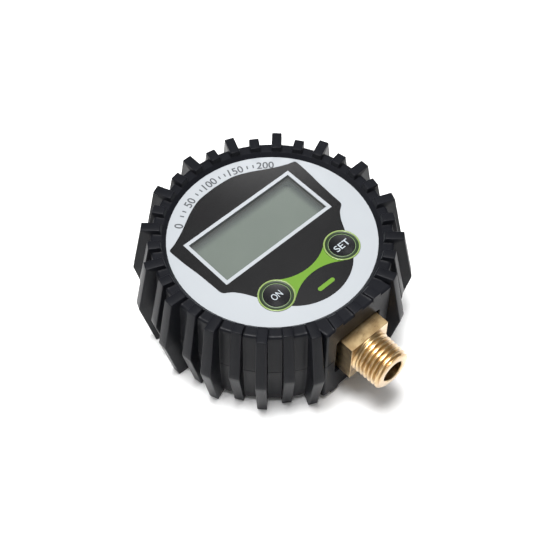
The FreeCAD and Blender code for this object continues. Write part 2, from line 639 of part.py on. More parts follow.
piece("battery_cover_screw", screw("cover_screw", ("0", COVER_SCREW_Y), "cover_screw_seat",
                                   ("cover_screw_head_radius", "cover_screw_head_height"),
                                   ("cover_screw_radius", "cover_screw_length")))
piece("case_screws", group("case_screw_set", [
    screw(f"case_screw_{index}", at, "screw_seat", ("screw_head_radius", "screw_head_height"),
          ("screw_radius", "screw_length")) for index, at in enumerate(case_screw_places())]))
piece("board_screws", group("board_screw_set", [
    screw(f"board_screw_{index}", at, BOARD_UNDER, ("board_screw_head_radius", "board_screw_head_height"),
          ("board_screw_radius", "board_screw_length")) for index, at in enumerate(board_screw_places())]))

# rubber boot: a turned sleeve with a lip at each face, tread ribs and the block round the stem
PAD_TOP = "(case_height + boot_lip_thick)"
LIP_RADIUS = "(case_radius - boot_lip_overlap)"
BOOT_INNER = "(case_radius + boot_fit)"
BOOT_EDGE = f"({BOOT_INNER} + boot_wall)"
RIB_INNER = f"({LIP_RADIUS} + boot_lip_bevel + rib_inset)"
BLOCK_FACE = f"({BOOT_EDGE} + block_proud)"
sleeve = turned("boot_sleeve", [
    (LIP_RADIUS, "case_height"), (f"{LIP_RADIUS} + boot_lip_bevel", PAD_TOP),
    (f"{BOOT_EDGE} - boot_edge_round", PAD_TOP), (BOOT_EDGE, f"{PAD_TOP} - boot_edge_round"),
    (f"{BOOT_EDGE} + boot_bulge", MIDDLE),
    (BOOT_EDGE, "boot_edge_round - boot_lip_thick"), (f"{BOOT_EDGE} - boot_edge_round", "-boot_lip_thick"),
    (f"{LIP_RADIUS} + boot_lip_bevel", "-boot_lip_thick"), (LIP_RADIUS, "0"),
    (BOOT_INNER, "0"), (BOOT_INNER, "case_height")])


def rib(name, reach, bulge):
    """One tread rib standing at angle 0: its side outline met with its front outline."""
    tip = f"{BOOT_EDGE} + {reach}"
    belt = f"{tip} + {bulge}"
    top = f"{PAD_TOP} + rib_proud"
    low = "-boot_lip_thick - rib_proud"
    root = f"{BOOT_INNER} + rib_root_depth"
    side = extruded(f"{name}_side", "XZ_Plane", [
        (RIB_INNER, top), (tip, top), (belt, MIDDLE), (tip, low), (RIB_INNER, low),
        (RIB_INNER, "-boot_lip_thick / 2"), (root, "-boot_lip_thick / 2"),
        (root, "case_height + boot_lip_thick / 2"), (RIB_INNER, "case_height + boot_lip_thick / 2")],
        "2 * rib_belt_width")
    front = extruded(f"{name}_front", "YZ_Plane", [
        ("-rib_width / 2", low), ("rib_width / 2", low), ("rib_belt_width / 2", MIDDLE),
        ("rib_width / 2", top), ("-rib_width / 2", top), ("-rib_belt_width / 2", MIDDLE)], f"2 * ({belt} + 1)")
    met = doc.addObject("Part::Common", name)
    met.Base = side
    met.Tool = front
    return met


def rib_angle(index):
    """Even steps, less the rubber's creep round the boot, which rises and falls as half a sine wave."""
    nominal = -index * 360.0 / sheet.get("rib_count")
    share = (sheet.get("creep_start") - nominal) / sheet.get("creep_span")
    creep = sheet.get("rib_creep") * math.sin(math.pi * share) if 0 < share < 1 else 0.0
    return nominal - creep


long_rib = rib("long_rib", "long_rib_reach", "long_rib_bulge")
short_rib = rib("short_rib", "short_rib_reach", "short_rib_bulge")
doc.recompute()
ribs = doc.addObject("Part::Feature", "ribs")
copies = []
for index in range(int(sheet.get("rib_count"))):
    copy = (short_rib if index % 2 else long_rib).Shape.copy()
    copy.rotate(Vector(), Vector(0, 0, 1), rib_angle(index))
    copies.append(copy)
ribs.Shape = Part.makeCompound(copies)

# the block: a slab with its two front corners rounded, less room for the case
BLOCK_LOW = "-boot_lip_thick"
BLOCK_HEIGHT = "(case_height + 2 * boot_lip_thick)"
block_items = [
    block("block_middle", ("-block_half_width + block_corner", f"-{BLOCK_FACE}", BLOCK_LOW),
          ("2 * (block_half_width - block_corner)", f"{BLOCK_FACE} - case_radius / 2", BLOCK_HEIGHT)),
    block("block_full", ("-block_half_width", f"-{BLOCK_FACE} + block_corner", BLOCK_LOW),
          ("2 * block_half_width", f"{BLOCK_FACE} - block_corner - case_radius / 2", BLOCK_HEIGHT))]
for side in ("", "-"):
    block_items.append(rod(f"block_edge{side}", (f"{side}(block_half_width - block_corner)",
                                                   f"-{BLOCK_FACE} + block_corner", BLOCK_LOW),
                           "block_corner", BLOCK_HEIGHT))
case_room = rod("case_room", ("0", "0", "-boot_lip_thick - 1"), f"{BOOT_INNER} + rib_root_depth",
                f"{BLOCK_HEIGHT} + 2")
block_shell = cut("block_shell", fuse("block_solid", block_items), [case_room])
boot_solid = fuse("boot_solid", [sleeve, ribs, block_shell])
face_trim = block("face_trim", ("-block_half_width", f"-2 * {BLOCK_FACE}", "-boot_lip_thick - rib_proud - 1"),
                  ("2 * block_half_width", BLOCK_FACE, "case_height + 2 * (boot_lip_thick + rib_proud) + 2"))

# the window for the stem, square with rounded corners
WINDOW_START = f"(-{BLOCK_FACE} - 1)"
WINDOW_LENGTH = f"({BLOCK_FACE} + 1 - case_radius / 2)"
boot_cuts = [face_trim]
for name, side_cut, rise_cut in (("wide", "0", "window_corner"), ("tall", "window_corner", "0")):
    half_width = f"(window_half_width - {side_cut})"
    half_height = f"(window_half_height - {rise_cut})"
    boot_cuts.append(block(f"window_{name}", (f"-{half_width}", WINDOW_START, f"stem_height - {half_height}"),
                           (f"2 * {half_width}", WINDOW_LENGTH, f"2 * {half_height}")))
for side in ("", "-"):
    for name, row in (("upper", "+"), ("lower", "-")):
        corner = (f"{side}(window_half_width - window_corner)", WINDOW_START,
                  f"stem_height {row} (window_half_height - window_corner)")
        boot_cuts.append(rod(f"window_corner{side}_{name}", corner, "window_corner", WINDOW_LENGTH, TOWARDS_Y))
piece("rubber_boot", cut("rubber_boot_cut", boot_solid, boot_cuts))

doc.recompute()
for item in doc.Objects:
    if "Invalid" in item.State or "Error" in item.State:
        raise RuntimeError(f"{item.Name} ({item.Label}) did not compute: {item.State}")
os.makedirs("parts", exist_ok=True)
for node, item in PIECES.items():
    shape = item.Shape
    if shape.isNull() or not shape.isValid() or not shape.Solids:
        raise RuntimeError(f"{node} has no valid solid")
    shape.exportStep(f"parts/{node}.step")
    print(f"{node}: {len(shape.Solids)} solid(s), {shape.Volume / 1000:.2f} cm3")
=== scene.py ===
"""Looks of a round digital pressure gauge in a ribbed rubber boot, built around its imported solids.

Sizes are in millimetres and colours are linear, unless a comment says otherwise.
"""
import math

import bmesh
import bpy
import numpy as np
from mathutils import Matrix, Vector


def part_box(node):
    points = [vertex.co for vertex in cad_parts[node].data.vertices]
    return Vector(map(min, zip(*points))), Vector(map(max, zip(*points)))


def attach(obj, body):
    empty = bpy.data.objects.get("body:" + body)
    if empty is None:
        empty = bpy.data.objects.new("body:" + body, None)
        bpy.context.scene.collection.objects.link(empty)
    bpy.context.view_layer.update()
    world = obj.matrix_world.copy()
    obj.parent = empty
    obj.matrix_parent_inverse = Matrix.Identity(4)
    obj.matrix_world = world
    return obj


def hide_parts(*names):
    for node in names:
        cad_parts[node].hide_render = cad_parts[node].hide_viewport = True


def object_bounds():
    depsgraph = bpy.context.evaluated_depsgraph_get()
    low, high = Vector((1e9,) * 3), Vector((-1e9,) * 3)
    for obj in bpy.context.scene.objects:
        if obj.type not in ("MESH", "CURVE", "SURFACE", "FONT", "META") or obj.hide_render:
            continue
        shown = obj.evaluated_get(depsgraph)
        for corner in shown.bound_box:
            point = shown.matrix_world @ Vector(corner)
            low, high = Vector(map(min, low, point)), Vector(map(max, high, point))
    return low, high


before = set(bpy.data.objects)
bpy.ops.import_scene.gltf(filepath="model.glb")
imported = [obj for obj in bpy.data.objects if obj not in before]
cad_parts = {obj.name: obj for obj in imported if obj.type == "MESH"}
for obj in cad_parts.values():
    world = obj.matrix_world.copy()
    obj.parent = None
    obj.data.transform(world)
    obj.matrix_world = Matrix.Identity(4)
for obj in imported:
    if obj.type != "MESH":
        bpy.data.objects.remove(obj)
cad_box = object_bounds()
MM = 0.001

# Camera
# A long lens a third of a metre away, high over the lower left of the dial. Its direction, distance and
# length were solved from the dial's outline and the display's frame.
CAMERA_AZIMUTH = math.radians(-43.208)
CAMERA_ELEVATION = math.radians(54.780)
CAMERA_ROLL = math.radians(0.312)
CAMERA_DISTANCE = 333.20
CAMERA_AIM = Vector((-5.30, -6.84, 23.92))
CAMERA_LENS = 76.90
camera_data = bpy.data.cameras.new("camera")
camera_data.lens = CAMERA_LENS
camera_data.sensor_width = 36
camera_data.clip_start = 0.01
camera = bpy.data.objects.new("camera", camera_data)
camera_turn = (Matrix.Rotation(CAMERA_AZIMUTH, 4, "Z")
               @ Matrix.Rotation(math.pi / 2 - CAMERA_ELEVATION, 4, "X")
               @ Matrix.Rotation(CAMERA_ROLL, 4, "Z"))
camera_back = camera_turn @ Vector((0, 0, CAMERA_DISTANCE))
camera.matrix_world = Matrix.Translation((CAMERA_AIM + camera_back) * MM) @ camera_turn
bpy.context.scene.collection.objects.link(camera)
bpy.context.scene.camera = camera


# Light tent
# White card all round and a wide dim panel above, a small strong soft box overhead, a smaller one behind
# whose reflection lies on the far side of the dial, and a weak one at the left.
WORLD_LIGHT = 0.23
world = bpy.data.worlds.new("tent")
world.use_nodes = True
world.node_tree.nodes["Background"].inputs["Color"].default_value = (1.0, 1.0, 1.0, 1.0)
world.node_tree.nodes["Background"].inputs["Strength"].default_value = WORLD_LIGHT
bpy.context.scene.world = world
bpy.context.scene.view_settings.view_transform = "Standard"


def soft_box(name, azimuth, elevation, distance, width, height, radiance):
    """Rectangular light aimed at the origin from a direction, with its distance and size in metres. Its
    power is radiance times pi times its area."""
    data = bpy.data.lights.new(name, "AREA")
    data.shape = "RECTANGLE"
    data.size = width
    data.size_y = height
    data.energy = radiance * math.pi * width * height
    turn = (Matrix.Rotation(math.radians(azimuth), 4, "Z")
            @ Matrix.Rotation(math.radians(90 - elevation), 4, "X"))
    light = bpy.data.objects.new(name, data)
    light.matrix_world = Matrix.Translation(turn @ Vector((0, 0, distance))) @ turn
    bpy.context.scene.collection.objects.link(light)


soft_box("overhead_box", -125.0, 84.0, 0.85, 0.34, 0.34, 30.0)
soft_box("roof_panel", 0.0, 89.0, 1.60, 1.60, 1.60, 0.87)
soft_box("back_box", 137.5, 47.5, 0.80, 0.10, 0.05, 5.7)
soft_box("left_box", -115.0, 30.0, 0.90, 0.80, 0.40, 1.0)


# Floor
# A plain white card that lies flat under the gauge and reaches four metres out each way.
FLOOR_REACH = 4.0
FLOOR_WHITE = (0.99, 0.99, 0.99, 1.0)


class Flow:
    """A shader value in the making: arithmetic on it adds the Math nodes that work it out."""

    def __init__(self, finish, socket):
        self.finish = finish
        self.socket = socket

    def math(self, operation, *values):
        """What a Math node makes of these values."""
        return self.finish.node("ShaderNodeMath", {"operation": operation}, dict(enumerate(values)))

    def __add__(self, other):
        return self.math("ADD", self, other)

    def __sub__(self, other):
        return self.math("SUBTRACT", self, other)

    def __rsub__(self, other):
        return self.math("SUBTRACT", other, self)

    def __mul__(self, other):
        return self.math("MULTIPLY", self, other)

    __radd__ = __add__
    __rmul__ = __mul__

    def rise(self, low, high):
        """0 below low, 1 above high, and a smooth climb between them."""
        return self.finish.node("ShaderNodeMapRange", {"interpolation_type": "SMOOTHSTEP"},
                                {0: self, 1: low, 2: high})


class Finish:
    """A material made node by node around its Principled shader. Lengths in it are millimetres."""

    def __init__(self, name, **sockets):
        self.material = bpy.data.materials.new(name)
        self.material.use_nodes = True
        self.tree = self.material.node_tree
        self.shader = self.tree.nodes["Principled BSDF"]
        self.set(**sockets)

    def feed(self, node, inputs):
        """Give a node's inputs their values, and link the inputs that get a flow."""
        for key, value in inputs.items():
            if isinstance(value, Flow):
                self.tree.links.new(value.socket, node.inputs[key])
            else:
                node.inputs[key].default_value = value

    def set(self, **sockets):
        """Values or flows for the shader's sockets, named with underlines for spaces."""
        self.feed(self.shader, {key.replace("_", " "): value for key, value in sockets.items()})

    def node(self, kind, settings, inputs, output=0):
        """New node with its settings and inputs, as the flow of one of its outputs."""
        made = self.tree.nodes.new(kind)
        for key, value in settings.items():
            setattr(made, key, value)
        self.feed(made, inputs)
        return Flow(self, made.outputs[output])

    def place(self, stretch=(1, 1, 1)):
        """Object coordinates in millimetres, stretched along each axis."""
        where = self.node("ShaderNodeTexCoord", {}, {}, "Object")
        scale = [value / MM for value in stretch]
        return self.node("ShaderNodeMapping", {}, {"Vector": where, "Scale": scale})

    def noise(self, where, size, detail=2.0):
        """Cloudy pattern from 0 to 1 whose blots are about size across."""
        return self.node("ShaderNodeTexNoise", {}, {"Vector": where, "Scale": 1 / size, "Detail": detail})

    def mix(self, share, first, second):
        """Colour between two colours."""
        return self.node("ShaderNodeMix", {"data_type": "RGBA"}, {0: share, 6: first, 7: second}, 2)

    def bumps(self, height, depth):
        """Surface relief as deep as depth where height is 1."""
        self.set(Normal=self.node("ShaderNodeBump", {}, {"Height": height, "Distance": depth * MM}))


floor_mesh = bpy.data.meshes.new("floor")
floor_z = cad_box[0].z
floor_corners = [(FLOOR_REACH * x, FLOOR_REACH * y, floor_z)
                 for x, y in ((-1, -1), (1, -1), (1, 1), (-1, 1))]
floor_mesh.from_pydata(floor_corners, [], [(0, 1, 2, 3)])
floor_mesh.materials.append(Finish("floor_card", Base_Color=FLOOR_WHITE, Roughness=0.85).material)
floor = bpy.data.objects.new("floor", floor_mesh)
bpy.context.scene.collection.objects.link(floor)


# Rubber boot
# One piece of moulded black rubber stretched over the case: a sleeve with a lip at each face,
# thirty-two tread ribs, long and short in turn, and a flat block with a square window for the stem.
boot_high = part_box("rubber_boot")[1]
case_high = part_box("front_case")[1]
CASE_RADIUS = case_high.x / MM
CASE_HEIGHT = case_high.z / MM
MIDDLE = CASE_HEIGHT / 2
RIB_TOP = boot_high.z / MM
RIB_BELT = boot_high.x / MM
LIP_RADIUS = CASE_RADIUS - 2.4
LIP_BEVEL = 1.1
SLEEVE_INNER = CASE_RADIUS + 0.05
PAD_TOP = CASE_HEIGHT + 1.2
PAD_EDGE = SLEEVE_INNER + 1.9
SLEEVE_BELT = PAD_EDGE + 0.95
RIB_COUNT = 32
RIB_START = LIP_RADIUS + 1.2
RIB_WIDTH = 2.9
RIB_BELT_WIDTH = 3.15
LONG_TIP = PAD_EDGE + 2.75
LONG_BELT = RIB_BELT
SHORT_TIP = PAD_EDGE + 0.75
SHORT_BELT = SHORT_TIP + 3.7
RIB_ROUND = 0.24
RIB_FOOT = 0.10
RIB_CUTS = (0.03, 0.05, RIB_ROUND, RIB_ROUND)
SLEEVE_CUTS = (0.03, 0.04, 0.1, 0.8)
PAD_STEP = 0.28
WEAR_AND_SHEEN_LIFT = 0.5
FOOT_TURNS = np.linspace(0, math.pi / 2, 3)
CROWN_TURNS = np.linspace(0, math.pi / 2, 4)
GAP_COLUMNS = 4
CORNER_COLUMNS = 14
CREEP = 2.4
CREEP_START = -60.0
CREEP_SPAN = 180.0
PULL = 0.75
PULL_ANGLE = math.radians(-133)
BLOCK_FACE = PAD_EDGE + 0.55
BLOCK_HALF = 12.5
BLOCK_CORNER = 50
BLOCK_SINE = -0.8
LEAST_SINE = 0.1
BLOCK_RIB_SHARE = 0.5
WINDOW_HALF = 8.35
WINDOW_RISE = 7.4
WINDOW_ROUND = 0.8
STEM_HEIGHT = (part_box("brass_stem")[0].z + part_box("brass_stem")[1].z) / 2 / MM
PARTING_HALF = 0.12
PARTING_DEPTH = 0.15


def shade(red, green, blue):
    """Linear colour from the 0 to 255 values of a screen."""
    values = np.array([red, green, blue]) / 255
    linear = np.where(values <= 0.04045, values / 12.92, ((values + 0.055) / 1.055) ** 2.4)
    return (*linear.tolist(), 1.0)


def unit(vectors):
    """Vectors divided by their lengths."""
    return vectors / np.maximum(np.linalg.norm(vectors, axis=-1, keepdims=True), 1e-9)


def bent_line(corners, cuts, turns, runs):
    """Points along a line with rounded corners. A corner C becomes the curve (1-t)^2 A + 2t(1-t) C + t^2 B
    between its two cut points A and B, and each straight run gets its own number of points."""
    corners = np.array(corners, float)
    parts = [corners[:1]]
    last = corners[0]
    for index, (cut, turn) in enumerate(zip(cuts, turns), start=1):
        corner = corners[index]
        first = corner + unit(corners[index - 1] - corner) * cut
        second = corner + unit(corners[index + 1] - corner) * cut
        t = np.linspace(0, 1, turn)[:, None]
        parts.append(last + (first - last) * np.linspace(0, 1, runs[index - 1] + 2)[1:-1, None])
        parts.append((1 - t) ** 2 * first + 2 * t * (1 - t) * corner + t ** 2 * second)
        last = second
    parts.append(last + (corners[-1] - last) * np.linspace(0, 1, runs[-1] + 2)[1:, None])
    return np.concatenate(parts)


def grid_faces(rows, columns, round_rows=False, round_columns=False):
    """Four-cornered faces of a grid numbered row by row; a round direction joins last to first."""
    row = np.arange(rows if round_rows else rows - 1)[:, None]
    column = np.arange(columns if round_columns else columns - 1)[None, :]
    next_row, next_column = (row + 1) % rows, (column + 1) % columns
    corners = (row * columns + column, row * columns + next_column,
               next_row * columns + next_column, next_row * columns + column)
    return np.stack(corners, -1).reshape(-1, 4).tolist()


def mesh_of(name, points, faces, values=None):
    """Closed mesh in metres from points in millimetres, with doubles merged and faces turned outwards.
    Values, one number a point, are kept as the attribute amount."""
    mesh = bpy.data.meshes.new(name)
    mesh.from_pydata((np.asarray(points).reshape(-1, 3) * MM).tolist(), [], faces)
    if values is not None:
        amount = mesh.attributes.new("amount", "FLOAT", "POINT")
        amount.data.foreach_set("value", np.ravel(values).astype(np.float32))
    shape = bmesh.new()
    shape.from_mesh(mesh)
    bmesh.ops.remove_doubles(shape, verts=shape.verts, dist=0.002 * MM)
    bmesh.ops.dissolve_degenerate(shape, edges=shape.edges, dist=0.001 * MM)
    bmesh.ops.recalc_face_normals(shape, faces=shape.faces)
    shape.to_mesh(mesh)
    shape.free()
    return mesh


def smooth(mesh, angle=32.0):
    """Smooth shading, with edges that turn by more than angle kept sharp."""
    mesh.shade_smooth()
    mesh.set_sharp_from_angle(angle=math.radians(angle))


def piece(mesh, finish, body="gauge", replaced=()):
    """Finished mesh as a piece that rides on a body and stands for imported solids."""
    if finish is not None:
        mesh.materials.clear()
        mesh.materials.append(finish.material)
    item = bpy.data.objects.new(mesh.name, mesh)
    bpy.context.scene.collection.objects.link(item)
    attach(item, body)
    if replaced:
        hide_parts(*replaced)


def less(mesh, cutter):
    """Mesh with another closed mesh cut out of it."""
    base = bpy.data.objects.new("base", mesh)
    tool = bpy.data.objects.new("tool", cutter)
    for item in (base, tool):
        bpy.context.scene.collection.objects.link(item)
    cut = base.modifiers.new("cut", "BOOLEAN")
    cut.operation = "DIFFERENCE"
    cut.solver = "EXACT"
    cut.object = tool
    made = bpy.data.meshes.new_from_object(base.evaluated_get(bpy.context.evaluated_depsgraph_get()))
    made.name = mesh.name
    for item in (base, tool):
        bpy.data.objects.remove(item)
    return made


def rib_angles():
    """Angle in degrees of every rib, in order, and whether it is a long one. The steps are even, less the
    rubber's creep round the case: half a sine wave that runs clockwise over half a turn, from 60 degrees
    below the right-hand side."""
    nominal = -np.arange(RIB_COUNT) * 360.0 / RIB_COUNT
    share = np.clip((CREEP_START - nominal) / CREEP_SPAN, 0, 1)
    angles = nominal - CREEP * np.sin(math.pi * share)
    long = np.arange(RIB_COUNT) % 2 == 0
    order = np.argsort(angles)
    return list(zip(angles[order], long[order]))


def boot_rows():
    """Sleeve, long rib and short rib outlines as distance and height, with as many rows each; then which
    rows lie between the two outer edges, and which on the parting line. The upper half is drawn from the
    lip to the middle, then mirrored, then closed up the inside."""
    turns = (4, 4, 5, 6)
    runs = (2, 0, 1, 5, 9)
    start = [(LIP_RADIUS, CASE_HEIGHT), (LIP_RADIUS + LIP_BEVEL, PAD_TOP), (RIB_START, PAD_TOP)]
    outlines = []
    for corners, belt, cuts in (
            ([(RIB_START + PAD_STEP, PAD_TOP), (PAD_EDGE, PAD_TOP)], SLEEVE_BELT, SLEEVE_CUTS),
            ([(RIB_START, RIB_TOP), (LONG_TIP, RIB_TOP)], LONG_BELT, RIB_CUTS),
            ([(RIB_START, RIB_TOP), (SHORT_TIP, RIB_TOP)], SHORT_BELT, RIB_CUTS)):
        upper = bent_line(start + corners + [(belt, MIDDLE + 2 * PARTING_HALF)], cuts, turns, runs)
        upper = np.concatenate([upper, [(belt, MIDDLE + PARTING_HALF), (belt, MIDDLE + PARTING_HALF / 2)]])
        lower = upper[::-1] * (1, -1) + (0, CASE_HEIGHT)
        inside = bent_line([lower[-1], (SLEEVE_INNER, 0), (SLEEVE_INNER, CASE_HEIGHT), upper[0]],
                           (0.1, 0.1), (2, 2), (1, 4, 1))[1:-1]
        outlines.append(np.concatenate([upper, lower, inside]))
    row = np.arange(len(outlines[0]))
    last_turn = sum(turns) + sum(runs[:4])
    front_rows = (row >= last_turn) & (row <= 2 * len(upper) - 1 - last_turn)
    parting_rows = (row == len(upper) - 1) | (row == len(upper))
    return outlines, front_rows, parting_rows


def pulled(outline, tip, angle):
    """Rib outline whose inner ends lean outwards, most on the side where the boot is pulled down over the
    case. The shift grows from the pad to the rib's top and fades towards the tip."""
    lean = PULL * (1 + math.cos(angle - PULL_ANGLE)) / 2
    height = np.clip((np.abs(outline[:, 1] - MIDDLE) - (PAD_TOP - MIDDLE)) / (RIB_TOP - PAD_TOP), 0, 1)
    fade = np.clip((tip - outline[:, 0]) / (tip - RIB_START), 0, 1)
    return outline + np.stack([lean * height * fade, 0 * fade], 1)


def normals_of(outline):
    """Outward direction at each row: the row-to-row direction turned a quarter to the left."""
    along = np.roll(outline, -1, 0) - np.roll(outline, 1, 0)
    return unit(np.stack([-along[:, 1], along[:, 0]], 1))


def turned(angle, along, offset, height):
    """Points given as distance along and offset across a direction, turned to that direction."""
    x = math.cos(angle) * along - math.sin(angle) * offset
    y = math.sin(angle) * along + math.cos(angle) * offset
    return np.stack([x, y, height + 0 * along], -1)


def boot_mesh():
    """Boot surface as one closed grid. Rows follow the outline. Columns cross each rib from foot to foot at
    fixed distances from its middle plane, and fan out over the sleeve between two ribs. A foot point is the
    sleeve's plus a fillet, and a crown point is the rib's less a rounding. In front the block's flat face
    takes the place of the sleeve's edge, and ribs inside the block end at that face."""
    (sleeve, long_rib, short_rib), front_rows, parting_rows = boot_rows()
    sleeve_normal = normals_of(sleeve)
    radius = sleeve[:, 0]
    edge = np.maximum(radius, PAD_EDGE)
    groove = np.where(parting_rows, PARTING_DEPTH, 0.0)
    none = np.zeros(len(sleeve))

    def face_at(angle, offset):
        """Distance along a direction at which an offset point meets the block's face."""
        return (-BLOCK_FACE - offset * math.cos(angle)) / math.sin(angle)

    def carried(distance, own_edge, reach):
        """Sleeve distance carried outwards so that its edge comes to lie at reach."""
        far = RIB_START + (distance - RIB_START) * (reach - RIB_START) / (own_edge - RIB_START)
        return np.where(distance > RIB_START, far, distance)

    def on_sleeve(angle, offset, rise, on_face):
        """Sleeve's outline at an offset across a direction, moved outwards by rise."""
        distance = np.sqrt(radius ** 2 - offset ** 2)
        if on_face:
            distance = carried(distance, np.sqrt(edge ** 2 - offset ** 2), face_at(angle, offset))
        return turned(angle, distance - groove + sleeve_normal[:, 0] * rise, offset,
                      sleeve[:, 1] + sleeve_normal[:, 1] * rise)

    ribs = []
    for degrees, is_long in rib_angles():
        angle = math.radians(degrees)
        outline, tip = (long_rib, LONG_TIP) if is_long else (short_rib, SHORT_TIP)
        outline = pulled(outline, tip, angle)
        normal = normals_of(outline)
        on_face = {-1: False, 1: False}
        if math.sin(angle) < BLOCK_SINE:
            for side in on_face:
                offset = side * (RIB_WIDTH / 2 + RIB_FOOT)
                foot_x = math.cos(angle) * face_at(angle, offset) - math.sin(angle) * offset
                on_face[side] = abs(foot_x) < BLOCK_HALF
        in_block = on_face[-1] and on_face[1]
        lift = np.linalg.norm(outline - sleeve, axis=1)
        if in_block:
            lift = np.where(front_rows, 0.0, lift)
        spread = 1 - np.abs(outline[:, 1] - MIDDLE) / (RIB_TOP - MIDDLE)
        half = (RIB_WIDTH + (RIB_BELT_WIDTH - RIB_WIDTH) * spread) / 2
        foot = np.minimum(RIB_FOOT, lift / 3)
        crown = np.minimum(RIB_ROUND, lift / 3)

        def on_crown(offset, drop):
            """Rib's outline at an offset from its middle plane, moved inwards by drop."""
            distance = outline[:, 0] - normal[:, 0] * drop
            height = outline[:, 1] - normal[:, 1] * drop
            if not in_block:
                return turned(angle, distance, offset, height)
            proud = np.maximum(np.abs(height - MIDDLE) - (PAD_TOP - MIDDLE), 0)
            height = height - np.sign(height - MIDDLE) * proud * (1 - BLOCK_RIB_SHARE)
            face = face_at(angle, offset)
            shortened = RIB_START + (distance - RIB_START) * (face - RIB_START) / (tip - RIB_START)
            distance = np.where(distance > RIB_START, shortened, distance)
            return np.where(front_rows[:, None], on_sleeve(angle, offset, none, True),
                            turned(angle, distance, offset, height))

        halves = []
        for side in (-1, 1):
            points = [on_sleeve(angle, side * (half + RIB_FOOT * (1 - math.sin(a))),
                                foot * (1 - math.cos(a)), on_face[side]) for a in FOOT_TURNS]
            points += [on_crown(side * (half - RIB_ROUND * (1 - math.cos(a))), crown * (1 - math.sin(a)))
                       for a in CROWN_TURNS]
            # Crown edges of raised ribs get a value that lightens the rubber there: partly rubbed wear,
            # partly a painted highlight on the rounded edge.
            crown_wear_and_sheen = [none] * len(FOOT_TURNS)
            crown_wear_and_sheen += [np.where(lift > WEAR_AND_SHEEN_LIFT, math.sin(2 * a), 0.0) for a in CROWN_TURNS]
            halves.append((points, crown_wear_and_sheen))
        points = halves[0][0] + [on_crown(0 * half, none)] + halves[1][0][::-1]
        crown_wear_and_sheen = halves[0][1] + [none] + halves[1][1][::-1]
        ribs.append((angle, half + RIB_FOOT, on_face, points, crown_wear_and_sheen))

    columns, wear_and_sheen_columns = [], []
    for index, (angle, foot_offset, on_face, points, crown_wear_and_sheen) in enumerate(ribs):
        columns += points
        wear_and_sheen_columns += crown_wear_and_sheen
        next_angle, next_offset, next_on_face = ribs[(index + 1) % RIB_COUNT][:3]
        next_angle += 2 * math.pi if next_angle < angle else 0
        low = angle + np.arcsin(foot_offset / radius)
        high = next_angle - np.arcsin(next_offset / radius)
        has_corner = on_face[1] != next_on_face[-1]
        count = CORNER_COLUMNS if has_corner else GAP_COLUMNS
        for share in np.linspace(0, 1, count + 2)[1:-1]:
            turn = low + (high - low) * share
            face_reach = BLOCK_FACE / np.maximum(-np.sin(turn), LEAST_SINE)
            side_reach = BLOCK_HALF / np.maximum(np.abs(np.cos(turn)), LEAST_SINE)
            both_reach = face_reach ** -BLOCK_CORNER + side_reach ** -BLOCK_CORNER
            corner_reach = both_reach ** (-1 / BLOCK_CORNER)
            if on_face[1] and next_on_face[-1]:
                distance = carried(radius, edge, face_reach)
            elif has_corner:
                distance = carried(radius, edge, np.maximum(corner_reach, edge))
            else:
                distance = radius
            reach = distance - groove
            columns.append(np.stack([reach * np.cos(turn), reach * np.sin(turn), sleeve[:, 1]], 1))
            wear_and_sheen_columns.append(none)
    points = np.stack(columns, 1)
    return mesh_of("rubber_boot_skin", points, grid_faces(*points.shape[:2], True, True), np.stack(wear_and_sheen_columns, 1))


def window_ring(grown, steps=7):
    """Points round the window, corner by corner, with quarter-circle corners. It lies close over the stem's
    square and leaves a gap at the sides and below."""
    quarter = np.linspace(0, math.pi / 2, steps)
    turns = (quarter + np.arange(4)[:, None] * math.pi / 2).ravel()
    right, top, low = WINDOW_HALF - WINDOW_ROUND, WINDOW_RISE - WINDOW_ROUND, WINDOW_ROUND - WINDOW_HALF
    centres = np.repeat([(right, top), (-right, top), (-right, low), (right, low)], steps, axis=0)
    return centres + (WINDOW_ROUND + grown) * np.stack([np.cos(turns), np.sin(turns)], 1)


def window_cutter():
    """Rod with the window's outline, along Y through the block, flared where it leaves the face."""
    flare = 0.15
    rings = []
    for y, grown in ((-BLOCK_FACE - 1, flare + 1), (-BLOCK_FACE + flare, 0), (-CASE_RADIUS / 2, 0)):
        ring = window_ring(grown)
        rings.append(np.stack([ring[:, 0], np.full(len(ring), y), STEM_HEIGHT + ring[:, 1]], 1))
    count = len(rings[0])
    faces = grid_faces(3, count, round_columns=True)
    faces += [list(range(count)), list(range(2 * count, 3 * count))]
    return mesh_of("window_cutter", np.concatenate(rings), faces)


rubber = Finish("boot_rubber", Specular_IOR_Level=0.08)
where = rubber.place()
speckle = rubber.noise(where, 0.35, 3.0)
cloud = rubber.noise(where, 9.0, 3.0)
edge_wear_and_sheen = rubber.node("ShaderNodeAttribute", {"attribute_name": "amount"}, {}, "Fac")
# The rib crowns are mixed lighter by that value: partly wear, partly a painted highlight along the rounded
# edges.
rubber.set(Base_Color=rubber.mix(cloud * 0.6 + edge_wear_and_sheen * 0.2, shade(17, 18, 21), shade(30, 31, 36)),
           Roughness=0.25 + speckle * 0.10 + cloud * 0.06)
rubber.bumps(speckle, 0.02)
boot = less(boot_mesh(), window_cutter())
smooth(boot)
piece(boot, rubber, replaced=["rubber_boot"])


